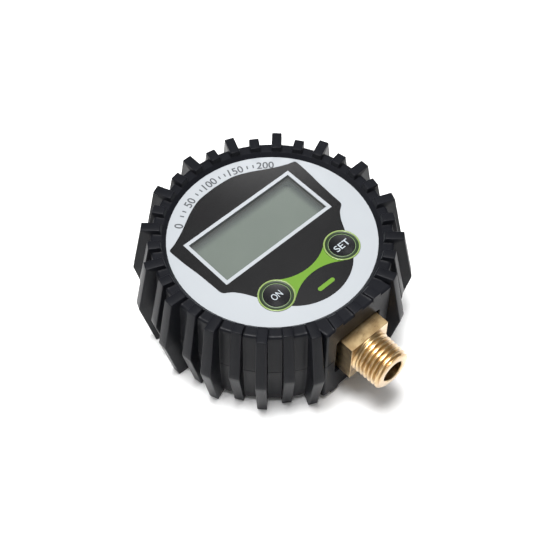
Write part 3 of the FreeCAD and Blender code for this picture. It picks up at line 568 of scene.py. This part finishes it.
# Dial label
# A printed polyester label on the front case: silver white, with a black field round the display, a green
# link between the keys and plain numbers along the top. Each ink is a film of its own on the label.
LABEL_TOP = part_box("dial_overlay")[1].z / MM
INK = 0.03
KEY_SPREAD = (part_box("function_button")[0].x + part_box("function_button")[1].x) / 2 / MM
KEY_DROP = (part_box("function_button")[0].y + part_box("function_button")[1].y) / 2 / MM
KEY_HOLE = 5.35
VIEW_HALF = 19.2
VIEW_LOW = -2.3
VIEW_HIGH = 14.0
FRAME_LINE = 1.1
LOBE_CENTRE = -8.8
LOBE_RADIUS = 16.8
LINK_RADIUS = 15.3
LINK_TOP = -14.5
LINK_LOW = -16.4
LINK_MEET = 51
NUMBER_RADIUS = 25.75
NUMBER_HEIGHT = 2.55
NUMBER_SPAN = 38.4
NUMBER_BOLD = 0.012
NUMBERS = range(0, 250, 50)
TICK_STEPS = 20
TICK_HALF_LENGTH = 0.6
TICK_HALF_WIDTH = 0.2
MARK_HALF_LENGTH = 3.0
MARK_HALF_HEIGHT = 0.65
MARK_Y = -21.9


def dimmed(colour, share):
    """Colour with its red, green and blue cut to a share of themselves."""
    return (*(value * share for value in colour[:3]), 1.0)


def dress(node, finish):
    """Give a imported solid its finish."""
    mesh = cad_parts[node].data
    mesh.materials.clear()
    mesh.materials.append(finish.material)


def arc(centre, radius, start, stop, count):
    """Points along a circle from one angle to another, in degrees."""
    turn = np.radians(np.linspace(start, stop, count))
    return np.stack([centre[0] + radius * np.cos(turn), centre[1] + radius * np.sin(turn)], 1)


def flowing(points, steps=6):
    """Smooth line through points: between two of them it is the cubic whose ends run along the lines
    that join their neighbours."""
    points = np.array(points, float)
    led = np.concatenate([[2 * points[0] - points[1]], points, [2 * points[-1] - points[-2]]])
    a, b, c, d = (led[start:len(led) - 3 + start, None] for start in range(4))
    t = np.linspace(0, 1, steps, endpoint=False)[:, None]
    line = (2 * b + (c - a) * t + (2 * a - 5 * b + 4 * c - d) * t ** 2
            + (3 * b - a - 3 * c + d) * t ** 3) / 2
    return np.concatenate([line.reshape(-1, 2), points[-1:]])


def mesh_from_curve(curve, place):
    """Closed mesh of a filled curve, brought to its place."""
    item = bpy.data.objects.new(curve.name, curve)
    bpy.context.scene.collection.objects.link(item)
    mesh = bpy.data.meshes.new_from_object(item.evaluated_get(bpy.context.evaluated_depsgraph_get()))
    mesh.name = curve.name
    bpy.data.objects.remove(item)
    mesh.transform(place)
    shape = bmesh.new()
    shape.from_mesh(mesh)
    bmesh.ops.remove_doubles(shape, verts=shape.verts, dist=0.004 * MM)
    bmesh.ops.recalc_face_normals(shape, faces=shape.faces)
    shape.to_mesh(mesh)
    shape.free()
    return mesh


def film(name, outlines, low=LABEL_TOP):
    """Film of ink between closed outlines, lying on the height low. An outline inside another is a hole."""
    curve = bpy.data.curves.new(name, "CURVE")
    curve.dimensions = "2D"
    curve.fill_mode = "BOTH"
    curve.extrude = INK / 2 * MM
    for outline in outlines:
        spline = curve.splines.new("POLY")
        spline.points.add(len(outline) - 1)
        places = np.zeros((len(outline), 4))
        places[:, :2] = np.asarray(outline) * MM
        spline.points.foreach_set("co", places.ravel())
        spline.use_cyclic_u = True
    return mesh_from_curve(curve, Matrix.Translation((0, 0, (low + INK / 2) * MM)))


def lettering(name, words, height, centre, low, width=None, turn=0.0, bolder=0.0):
    """Word in the built-in typeface as a film of ink, scaled to a height and, if given, a width."""
    curve = bpy.data.curves.new(name, "FONT")
    curve.body = words
    curve.align_x = "CENTER"
    curve.offset = bolder
    curve.extrude = 0.5
    word = mesh_from_curve(curve, Matrix.Identity(4))
    corners = np.array([vertex.co for vertex in word.vertices])
    middle = (corners.min(0) + corners.max(0)) / 2
    size = corners.max(0) - corners.min(0)
    rise = height / size[1]
    across = rise if width is None else width / size[0]
    place = (Matrix.Translation((centre[0] * MM, centre[1] * MM, (low + INK / 2) * MM))
             @ Matrix.Rotation(turn, 4, "Z")
             @ Matrix.Diagonal((across * MM, rise * MM, INK * MM / size[2], 1))
             @ Matrix.Translation((-middle[0], -middle[1], -middle[2])))
    word.transform(place)
    return word


def joined(name, meshes):
    """One mesh made of several."""
    shape = bmesh.new()
    for mesh in meshes:
        shape.from_mesh(mesh)
    whole = bpy.data.meshes.new(name)
    shape.to_mesh(whole)
    shape.free()
    return whole


def mirrored(line):
    """Right-hand half of an outline followed by its mirror image."""
    return np.concatenate([line, line[-2:0:-1] * (-1, 1)])


def key_arc(side, start, stop, count=20):
    """Part of the edge of the left key's hole, side -1, or the right one's, side 1."""
    return arc((side * KEY_SPREAD, KEY_DROP), KEY_HOLE, start, stop, count)


def field_outline():
    """Right-hand edge of the black field from the top to the bottom, mirrored. It swells round the display,
    draws in to the key and ends in a round lobe."""
    top = flowing([(0, 25.0), (5, 24.7), (8, 24.0), (12, 22.2), (18, 18.8), (22, 17.0)])
    side = flowing([(24.1, 16.4), (24.45, 15.3), (24.2, 10), (23.7, 5), (23.35, -1), (23.25, -3.6),
                    (23.05, -4.5)])
    waist = flowing([(22.55, -5.1), (21.9, -5.5), (20.75, -6.35), (19.7, -7.6), (18.7, -9.0),
                     (17.05, -12.0)])
    key = key_arc(1, 36, 262)
    lobe = arc((0, LOBE_CENTRE), LOBE_RADIUS, -45, -90, 16)
    return mirrored(np.concatenate([top, side, waist, key, lobe]))


def link_outline():
    """Green link: two arcs that draw together between the keys, closed along the key holes."""
    meet_x = KEY_SPREAD - KEY_HOLE * math.cos(math.radians(LINK_MEET))
    half = math.degrees(math.asin(meet_x / LINK_RADIUS))
    upper = arc((0, LINK_TOP + LINK_RADIUS), LINK_RADIUS, -90 - half, -90 + half, 25)
    lower = arc((0, LINK_LOW - LINK_RADIUS), LINK_RADIUS, 90 - half, 90 + half, 25)
    return np.concatenate([upper, key_arc(1, 180 - LINK_MEET, 180 + LINK_MEET), lower,
                           key_arc(-1, -LINK_MEET, LINK_MEET)])


def bar(half_length, half_height, centre_y):
    """Bar with round ends, lying across the dial."""
    right = arc((half_length - half_height, centre_y), half_height, -90, 90, 12)
    left = arc((half_height - half_length, centre_y), half_height, 90, 270, 12)
    return np.concatenate([right, left])


def printed(name, colour, roughness, cloudiness=0.08):
    """Ink or coated film: hardly cloudy in colour, a little uneven in gloss."""
    finish = Finish(name, Specular_IOR_Level=0.4)
    where = finish.place()
    cloud = finish.noise(where, 7.0, 3.0)
    grain = finish.noise(where, 0.12, 2.0)
    finish.set(Base_Color=finish.mix(cloud, dimmed(colour, 1 - cloudiness), colour),
               Roughness=roughness + 0.02 * cloud)
    finish.bumps(grain, 0.001)
    return finish


hole_half = VIEW_HALF + FRAME_LINE
hole_low = VIEW_LOW - FRAME_LINE
hole_high = VIEW_HIGH + FRAME_LINE
view_hole = [(-hole_half, hole_low), (hole_half, hole_low), (hole_half, hole_high), (-hole_half, hole_high)]
dress("dial_overlay", printed("label_silver", shade(163, 167, 171), 0.17, 0.04))
black_ink = printed("ink_black", shade(27, 27, 28), 0.16, 0.35)
piece(film("dial_field", [field_outline(), view_hole]), black_ink)
green_ink = printed("ink_green", shade(90, 130, 28), 0.38)
piece(film("dial_link", [link_outline()], LABEL_TOP + INK), green_ink)
mark = bar(MARK_HALF_LENGTH, MARK_HALF_HEIGHT, MARK_Y)
piece(film("dial_mark", [mark], LABEL_TOP + INK), green_ink)
grey_ink = printed("ink_grey", shade(73, 75, 78), 0.30)
figures = []
middle = NUMBER_RADIUS + NUMBER_HEIGHT / 2
for place, number in zip(np.linspace(-NUMBER_SPAN, NUMBER_SPAN, len(NUMBERS)), NUMBERS):
    lean = math.radians(-place)
    spot = (-middle * math.sin(lean), middle * math.cos(lean))
    figures.append(lettering(f"number_{number}", str(number), NUMBER_HEIGHT, spot, LABEL_TOP, turn=lean,
                             bolder=NUMBER_BOLD))
# Two ticks stand between each pair of numbers.
for index in range(TICK_STEPS + 1):
    if index % 5 in (2, 3):
        angle = math.radians(90 + NUMBER_SPAN - 2 * NUMBER_SPAN * index / TICK_STEPS)
        out = np.array([math.cos(angle), math.sin(angle)])
        across = np.array([-math.sin(angle), math.cos(angle)])
        corners = [out * (middle + TICK_HALF_LENGTH * rise) + across * TICK_HALF_WIDTH * side
                   for rise, side in ((-1, -1), (-1, 1), (1, 1), (1, -1))]
        figures.append(film(f"tick_{index}", [corners]))
piece(joined("dial_numbers", figures), grey_ink)


# Keys
# Two round moulded keys almost level with the label, each with a green rim, a dark band, a thin pale line
# and a black disc with white lettering, and a flange under the case front that keeps it in.
KEY_RADIUS = 5.28
KEY_TOP = LABEL_TOP + 0.1
KEY_BEAD = 0.16
KEY_STEPS = 96
KEY_ZONES = (3.84, 3.98, 4.80)
DISC_LEVEL = KEY_TOP - 0.06
RING_LEVEL = KEY_TOP - 0.02
RING_SLOPES = (0.15, 0.1)
KEY_FLANGE_TOP = LABEL_TOP - 2.45
KEY_FLANGE_UNDER = KEY_FLANGE_TOP - 1.0
KEY_POST = 2.2
SIGN_HEIGHT = 2.1
SIGN_BOLD = 0.004


def turned_solid(name, profile, centre, steps=KEY_STEPS):
    """Closed surface turned about an upright line: every distance and height of the profile is one ring."""
    turn = np.arange(steps) * 2 * math.pi / steps
    profile = np.asarray(profile, float)
    x = centre[0] + profile[:, :1] * np.cos(turn)
    y = centre[1] + profile[:, :1] * np.sin(turn)
    z = np.repeat(profile[:, 1:], steps, axis=1)
    return mesh_of(name, np.stack([x, y, z], -1), grid_faces(len(profile), steps, round_columns=True))


def key_profile(node):
    """Key outline from the middle of its top to the foot of its post, with rings where the inks change."""
    low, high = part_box(node)
    flange = (high.x - low.x) / 2 / MM
    turn = np.linspace(math.pi, 0, 9)
    bead = (KEY_RADIUS - KEY_ZONES[2]) / 2
    edge = np.stack([KEY_RADIUS - bead + bead * np.cos(turn), KEY_TOP + KEY_BEAD * np.sin(turn)], 1)
    disc = [(0, DISC_LEVEL), (KEY_ZONES[0] - RING_SLOPES[0], DISC_LEVEL), (KEY_ZONES[0], RING_LEVEL),
            (KEY_ZONES[1], RING_LEVEL), (KEY_ZONES[1] + RING_SLOPES[1], DISC_LEVEL),
            (KEY_ZONES[2] - RING_SLOPES[1], DISC_LEVEL)]
    foot = [(KEY_RADIUS, KEY_FLANGE_TOP), (flange, KEY_FLANGE_TOP), (flange, KEY_FLANGE_UNDER),
            (KEY_POST, KEY_FLANGE_UNDER), (KEY_POST, low.z / MM), (0, low.z / MM)]
    return np.concatenate([disc, edge, foot])


key_black = printed("key_black", shade(14, 14, 17), 0.24)
key_light = printed("key_light", shade(116, 137, 94), 0.40)
key_band = printed("key_band", shade(14, 36, 5), 0.42)
# The rim's green is paler than the link's: partly its own colour, partly a painted sheen of the glossy
# rounded rim.
rim_green_and_sheen = printed("rim_green_and_sheen", shade(130, 150, 90), 0.18)
white_ink = printed("ink_white", shade(169, 177, 183), 0.40)
for node, body, side, words, width in (("on_button", "on_key", -1, "ON", 3.25),
                                       ("function_button", "function_key", 1, "SET", 5.2)):
    centre = (side * KEY_SPREAD, KEY_DROP)
    key = turned_solid(f"{node}_cap", key_profile(node), centre)
    for finish in (key_black, key_light, key_band, rim_green_and_sheen):
        key.materials.append(finish.material)
    middles = np.array([face.center for face in key.polygons]) / MM
    distance = np.hypot(middles[:, 0] - centre[0], middles[:, 1] - centre[1])
    zone = np.where(middles[:, 2] > LABEL_TOP - 1, np.searchsorted(KEY_ZONES, distance), 0)
    key.polygons.foreach_set("material_index", zone.astype(np.int32))
    smooth(key)
    piece(key, None, body, [node])
    sign = lettering(f"{node}_lettering", words, SIGN_HEIGHT, centre, DISC_LEVEL, width=width,
                     bolder=SIGN_BOLD)
    piece(sign, white_ink, body)


# Display
# A clear acrylic pane glued under the label, and the blank grey-green liquid crystal glass two
# millimetres below it, seen down the walls of the case's opening, with a painted shadow along its
# edges. The glass lies in a pale holder, on two rubber strips that join it to the board.
SHADOW_FAR_WIDTH = 3.2
SHADOW_NEAR_WIDTH = 1.3
pane = Finish("clear_acrylic", Base_Color=(0.9, 0.95, 0.92, 1.0), IOR=1.49, Coat_Weight=0.6,
              Coat_Roughness=0.03)
pane_dust = pane.noise(pane.place(), 1.6, 4.0)
pane.set(Alpha=0.025 + pane_dust * 0.02, Roughness=0.05 + pane_dust * 0.05)
dress("display_window", pane)
glass = Finish("liquid_crystal", Specular_IOR_Level=0.4)
glass_where = glass.place()
glass_cloud = glass.noise(glass_where, 14.0, 2.0)
across = glass.node("ShaderNodeSeparateXYZ", {}, {0: glass_where}, 0)
along = glass.node("ShaderNodeSeparateXYZ", {}, {0: glass_where}, 1)
# Painted shadow: the glass darkens to blue-grey along its edges, over a wide band at the top and right and
# a narrow one at the left and bottom, where the walls of the opening shade it.
painted_edge_shadow = (across.rise(VIEW_HALF - SHADOW_FAR_WIDTH, VIEW_HALF)
          + along.rise(VIEW_HIGH - SHADOW_FAR_WIDTH, VIEW_HIGH)
          + (0 - across).rise(VIEW_HALF - SHADOW_NEAR_WIDTH, VIEW_HALF)
          + (0 - along).rise(-VIEW_LOW - SHADOW_NEAR_WIDTH, -VIEW_LOW))
glass_green = glass.mix(glass_cloud, shade(71, 80, 73), shade(78, 87, 79))
glass.set(Base_Color=glass.mix(painted_edge_shadow.math("MINIMUM", painted_edge_shadow, 1.0) * 0.85, glass_green, shade(26, 31, 35)),
          Roughness=0.14 + 0.06 * glass.noise(glass_where, 0.2, 2.0))
dress("lcd_panel", glass)


def moulded(name, colour, roughness, size=0.5, depth=0.01):
    """Moulded plastic, rubber or resin: a little cloudy, with a fine tool texture."""
    finish = Finish(name)
    where = finish.place()
    cloud = finish.noise(where, 8.0, 3.0)
    grain = finish.noise(where, size, 3.0)
    finish.set(Base_Color=finish.mix(cloud, dimmed(colour, 0.8), colour),
               Roughness=roughness + 0.08 * (grain - 0.5))
    finish.bumps(grain, depth)
    return finish


dress("lcd_frame", moulded("holder_plastic", shade(206, 205, 198), 0.5))
strip_rubber = moulded("strip_rubber", shade(196, 120, 128), 0.6)
dress("contact_strip_upper", strip_rubber)
dress("contact_strip_lower", strip_rubber)


# Case halves
# Two shells moulded in black plastic, joined at the height of the stem, and the cover screwed over the
# batteries. Only the back and the walls of the display opening can be seen.
case_plastic = moulded("case_plastic", shade(42, 43, 45), 0.5, 0.45, 0.015)
dress("front_case", case_plastic)
dress("rear_case", case_plastic)
dress("battery_cover", moulded("cover_plastic", shade(39, 40, 42), 0.46, 0.45, 0.015))


# Brass stem
# One bar of brass, square for the spanner, turned down and cut with a pipe thread at the outer end and
# bored through; inside the case it has a flange, a neck and the cup that takes the sensor.
STEM_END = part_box("brass_stem")[0].y / MM
CUP_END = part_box("brass_stem")[1].y / MM
SQUARE_HALF = 7.0
THREAD_LENGTH = 9.5
SQUARE_START = STEM_END + THREAD_LENGTH
SQUARE_END = SQUARE_START + 10.5
SQUARE_CHAMFER = 0.06
FLANGE_RADIUS = 8.5
FLANGE_LENGTH = 1.8
NECK_RADIUS = 5.0
NECK_LENGTH = 5.2
CUP_RADIUS = (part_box("brass_stem")[1].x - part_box("brass_stem")[0].x) / 2 / MM
THREAD_PITCH = 1.411
THREAD_CREST = 6.58
THREAD_TAPER = 1 / 32
THREAD_DEPTH = 0.86
THREAD_RUNOUT = 2.2
THREAD_START = 0.15
THREAD_SLOPE = 3.0
THREAD_FLAT = 0.35
THREAD_ROWS = 18
RIM_RADIUS = 6.0
RIM_BEVEL = 0.9
RIM_CURVE = 2.6
RIM_GAIN = 0.95
TURNED_CUT = 0.15
BORE = 3.5
BORE_BEVEL = 0.25
BORE_DEPTH = 20.0
PASSAGE = 1.5
CUP_BORE = 6.2
CUP_DEPTH = 5.5
NICK_ANGLE = math.radians(-62)
NICK_DEPTH = 0.28
NICK_WIDTH = 0.07
STEM_QUARTER = 44
CORNER_CROWDING = 1.6


def stem_mesh():
    """Stem as one closed grid: rows follow its section from the cup outwards, over the thread, into the
    bore and back through the cup; columns go round, closest together at the square's corners. The square's
    distance is its half width over the larger of |cos| and |sin| of the turn. The thread's distance falls
    from the crest by a flat-topped triangle wave of y / pitch + turn / full turn. The rim's distance grows
    with the square root of the distance from the end."""
    share = np.linspace(-1, 1, STEM_QUARTER, endpoint=False)
    quarter = math.pi / 4 * (1 + np.sign(share) * np.abs(share) ** CORNER_CROWDING)
    turn = (quarter + np.arange(4)[:, None] * math.pi / 2).ravel()
    square = SQUARE_HALF / np.maximum(np.abs(np.cos(turn)), np.abs(np.sin(turn)))
    flange_end = SQUARE_END + FLANGE_LENGTH
    cup_start = flange_end + NECK_LENGTH
    inner = bent_line([(CUP_BORE, CUP_END), (CUP_RADIUS, CUP_END), (CUP_RADIUS, cup_start),
                       (NECK_RADIUS, cup_start), (NECK_RADIUS, flange_end), (FLANGE_RADIUS, flange_end),
                       (FLANGE_RADIUS, SQUARE_END), (SQUARE_HALF + 0.05, SQUARE_END)],
                      (TURNED_CUT,) * 6, (3,) * 6, (0,) * 7)
    outer = [(RIM_RADIUS - RIM_BEVEL, STEM_END), (BORE + BORE_BEVEL, STEM_END)]
    bore_end = STEM_END + BORE_DEPTH
    pocket = [(BORE, STEM_END + BORE_BEVEL), (BORE, STEM_END + 3), (BORE, STEM_END + 8), (BORE, bore_end),
              (PASSAGE, bore_end), (PASSAGE, CUP_END - CUP_DEPTH), (CUP_BORE, CUP_END - CUP_DEPTH)]
    rings = [np.stack([np.full(len(turn), r), np.full(len(turn), y)], 1) for r, y in inner]
    for grown, y in ((-SQUARE_CHAMFER, SQUARE_END), (0, SQUARE_END - SQUARE_CHAMFER), (0, SQUARE_END - 3),
                     (0, SQUARE_END - 7), (0, SQUARE_START + SQUARE_CHAMFER),
                     (-SQUARE_CHAMFER, SQUARE_START)):
        rings.append(np.stack([square + grown, np.full(len(turn), y)], 1))
    y = np.linspace(SQUARE_START, STEM_END, int(THREAD_LENGTH / THREAD_PITCH * THREAD_ROWS))[:, None]
    phase = np.mod(y / THREAD_PITCH + turn / (2 * math.pi), 1.0)
    wave = np.clip(np.abs(phase - 0.5) * THREAD_SLOPE - THREAD_FLAT, 0, 1)
    crest = THREAD_CREST - (SQUARE_START - y) * THREAD_TAPER
    shallow = np.clip((SQUARE_START - y - THREAD_START) / THREAD_RUNOUT, 0, 1)
    distance = crest - THREAD_DEPTH * wave * shallow ** 0.7
    rim = RIM_RADIUS - RIM_BEVEL + np.sqrt(np.clip((y - STEM_END) * RIM_CURVE, 0, None)) * RIM_GAIN
    distance = np.minimum(distance, rim)
    thread = slice(len(rings), len(rings) + len(y))
    rings += list(np.stack([distance, np.broadcast_to(y, distance.shape)], -1))
    nick = NICK_DEPTH * np.exp(-((turn - NICK_ANGLE % (2 * math.pi)) / NICK_WIDTH) ** 2)
    for r, height in outer + pocket:
        at_mouth = abs(r - BORE) < 0.3 and height < STEM_END + 2
        rings.append(np.stack([r + nick * at_mouth, np.full(len(turn), height)], 1))
    rings = np.stack(rings)
    # How far each thread point lies down a valley, kept on the mesh so that the brass is painted darker
    # there as shade in the grooves.
    valley_shade = np.zeros(rings.shape[:2])
    valley_shade[thread] = wave * shallow
    distance = rings[..., 0]
    points = np.stack([distance * np.cos(turn), rings[..., 1], STEM_HEIGHT + distance * np.sin(turn)], -1)
    return mesh_of("brass_stem_body", points, grid_faces(*points.shape[:2], True, True), valley_shade)


brass = Finish("brass", Metallic=1.0, Coat_Weight=1.0, Coat_Roughness=0.30)
brass_where = brass.place()
mill = brass.noise(brass.place((0.35, 6.0, 0.35)), 1.0, 3.0)
blots = brass.noise(brass_where, 2.2, 4.0)
scratches = brass.noise(brass.place((5.0, 0.6, 0.6)), 1.0, 2.0)
valley_shade = brass.node("ShaderNodeAttribute", {"attribute_name": "amount"}, {}, "Fac")
skin = brass.mix(blots.rise(0.35, 0.7), shade(174, 143, 95), shade(205, 178, 129))
# Painted shade: the thread's valleys are mixed towards a darker brown, and made rougher.
brass.set(Base_Color=brass.mix(valley_shade * 0.4, skin, shade(186, 152, 104)),
          Roughness=0.21 + 0.13 * mill + 0.05 * blots + valley_shade * 0.10)
brass.bumps(mill * 0.6 + scratches * 0.4, 0.012)
stem = stem_mesh()
smooth(stem, 28)
piece(stem, brass, replaced=["brass_stem"])


# Screws
# Steel screws with a domed head and a cross recess: four that draw the case halves together and one in
# the battery cover. The three that hold the board stay as packed.
CROSS_HALF = 0.32
CROSS_REACH = 1.35
CROSS_DEPTH = 0.9
CROSS_GROWTH = (1.05, 0.55)
HEAD_RIM = 0.02
DOME_SHARE = 0.45
TIP_STEP = 0.4
TIP_LENGTH = 0.5
CASE_SCREW_CIRCLE = 27.0
CASE_SCREW_ANGLES = (60.0, -28.0)


def cross_cutter(centre, low):
    """Tapering cross pressed upwards into a head."""
    outline = []
    for quarter in range(4):
        c, s = math.cos(quarter * math.pi / 2), math.sin(quarter * math.pi / 2)
        for x, y in ((CROSS_REACH, -CROSS_HALF), (CROSS_REACH, CROSS_HALF), (CROSS_HALF, CROSS_HALF)):
            outline.append((c * x - s * y, s * x + c * y))
    outline = np.array(outline)
    count = len(outline)
    rings = [np.column_stack([outline * grown + centre, np.full(count, z)])
             for grown, z in zip(CROSS_GROWTH, (low - 0.3, low + CROSS_DEPTH))]
    faces = grid_faces(2, count, round_columns=True)
    faces += [list(range(count)), list(range(count, 2 * count))]
    return mesh_of("cross", np.concatenate(rings), faces)


def screw_mesh(name, centre, low, head_radius, head_height, shank_radius, top):
    """Screw standing on its head: a quarter of an ellipse for the dome, then rim, shank and a blunt end,
    turned about an upright line, less the cross."""
    turn = np.linspace(0, math.pi / 2, 7)
    dome = np.stack([(head_radius - HEAD_RIM) * np.sin(turn),
                     low + DOME_SHARE * head_height * (1 - np.cos(turn))], 1)
    profile = [*dome, (head_radius, low + head_height), (shank_radius, low + head_height),
               (shank_radius, top - TIP_LENGTH), (shank_radius - TIP_STEP, top), (0, top)]
    screw = less(turned_solid(name, profile, centre, 40), cross_cutter(centre, low))
    smooth(screw)
    return screw


def steel(name, colour, roughness):
    """Plated or drawn steel: dull in patches and faintly lined."""
    finish = Finish(name, Metallic=1.0)
    cloud = finish.noise(finish.place(), 1.5, 4.0)
    lines = finish.noise(finish.place((1, 1, 14)), 1.0, 2.0)
    finish.set(Base_Color=finish.mix(cloud, dimmed(colour, 0.72), colour),
               Roughness=roughness + 0.15 * cloud)
    finish.bumps(lines, 0.006)
    return finish


screw_steel = steel("screw_steel", shade(188, 190, 194), 0.28)
screw_low, screw_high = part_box("case_screws")
case_screws = []
for side in (-1, 1):
    for angle in map(math.radians, CASE_SCREW_ANGLES):
        centre = (side * CASE_SCREW_CIRCLE * math.cos(angle), CASE_SCREW_CIRCLE * math.sin(angle))
        case_screws.append(screw_mesh("case_screw", centre, screw_low.z / MM, head_radius=2.3,
                                      head_height=1.6, shank_radius=1.1, top=screw_high.z / MM))
piece(joined("case_screw_set", case_screws), screw_steel, replaced=["case_screws"])
cover_low, cover_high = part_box("battery_cover_screw")
cover_centre = ((cover_low.x + cover_high.x) / 2 / MM, (cover_low.y + cover_high.y) / 2 / MM)
cover_screw = screw_mesh("cover_screw", cover_centre, cover_low.z / MM, head_radius=2.4, head_height=0.8,
                         shank_radius=1.1, top=cover_high.z / MM)
piece(cover_screw, screw_steel, replaced=["battery_cover_screw"])
dress("board_screws", screw_steel)


# Circuit board
# A round glass-fibre board under the display, with its two chips, the small parts and the switches under
# the keys standing on it.
board = Finish("board_laminate", Coat_Weight=0.4, Coat_Roughness=0.2)
board_where = board.place()
weave = board.node("ShaderNodeTexBrick", {"offset": 0.5},
                   {"Vector": board_where, "Scale": 1.0, "Brick Width": 0.6, "Row Height": 0.3}, "Fac")
board.set(Base_Color=board.mix(board.noise(board_where, 5.0, 3.0), shade(22, 84, 48), shade(30, 102, 58)),
          Roughness=0.42)
board.bumps(weave, 0.01)
dress("circuit_board", board)
dress("controller_chip", moulded("chip_resin", shade(34, 34, 36), 0.55, 0.2))
dress("amplifier_chip", moulded("amplifier_resin", shade(38, 38, 41), 0.55, 0.2))
dress("board_passives", moulded("passive_ceramic", shade(168, 132, 96), 0.4, 0.3))
switch_plastic = moulded("switch_plastic", shade(52, 52, 54), 0.45, 0.3)
plunger_plastic = moulded("plunger_plastic", shade(190, 188, 180), 0.4, 0.3)
for key in ("on", "function"):
    dress(f"{key}_switch", switch_plastic)
    dress(f"{key}_switch_plunger", plunger_plastic)


# Sensing end
# A nitrile seal, a steel sensor capsule and the ring screwed in behind it, all in the stem's cup, and
# the flat lead from the sensor to the board.
dress("sensor_seal", moulded("seal_rubber", shade(36, 36, 38), 0.5, 0.3))
dress("pressure_sensor", steel("sensor_steel", shade(198, 198, 200), 0.22))
dress("sensor_retaining_ring", steel("ring_steel", shade(180, 180, 184), 0.3))
dress("sensor_ribbon", moulded("ribbon_film", shade(196, 122, 44), 0.35, 0.4))


# Batteries
# Two cells in plain printed jackets, side by side in the back of the case, between steel contact plates
# and conical springs.
JACKET_SEAM = (8.0, 8.4)
cell = Finish("cell_jacket", Coat_Weight=0.5, Coat_Roughness=0.12)
cell_where = cell.place()
cell_x = cell.node("ShaderNodeSeparateXYZ", {}, {0: cell_where}, 0)
cell.set(Base_Color=cell.mix(cell_x.rise(*JACKET_SEAM), shade(48, 52, 58), shade(196, 158, 72)),
         Roughness=0.32 + 0.1 * cell.noise(cell_where, 1.0, 3.0))
dress("battery_upper", cell)
dress("battery_lower", cell)
contact_steel = steel("contact_steel", shade(200, 200, 198), 0.25)
for node in ("negative_contact", "positive_contact", "bridge_contact", "battery_spring_left",
             "battery_spring_right"):
    dress(node, contact_steel)
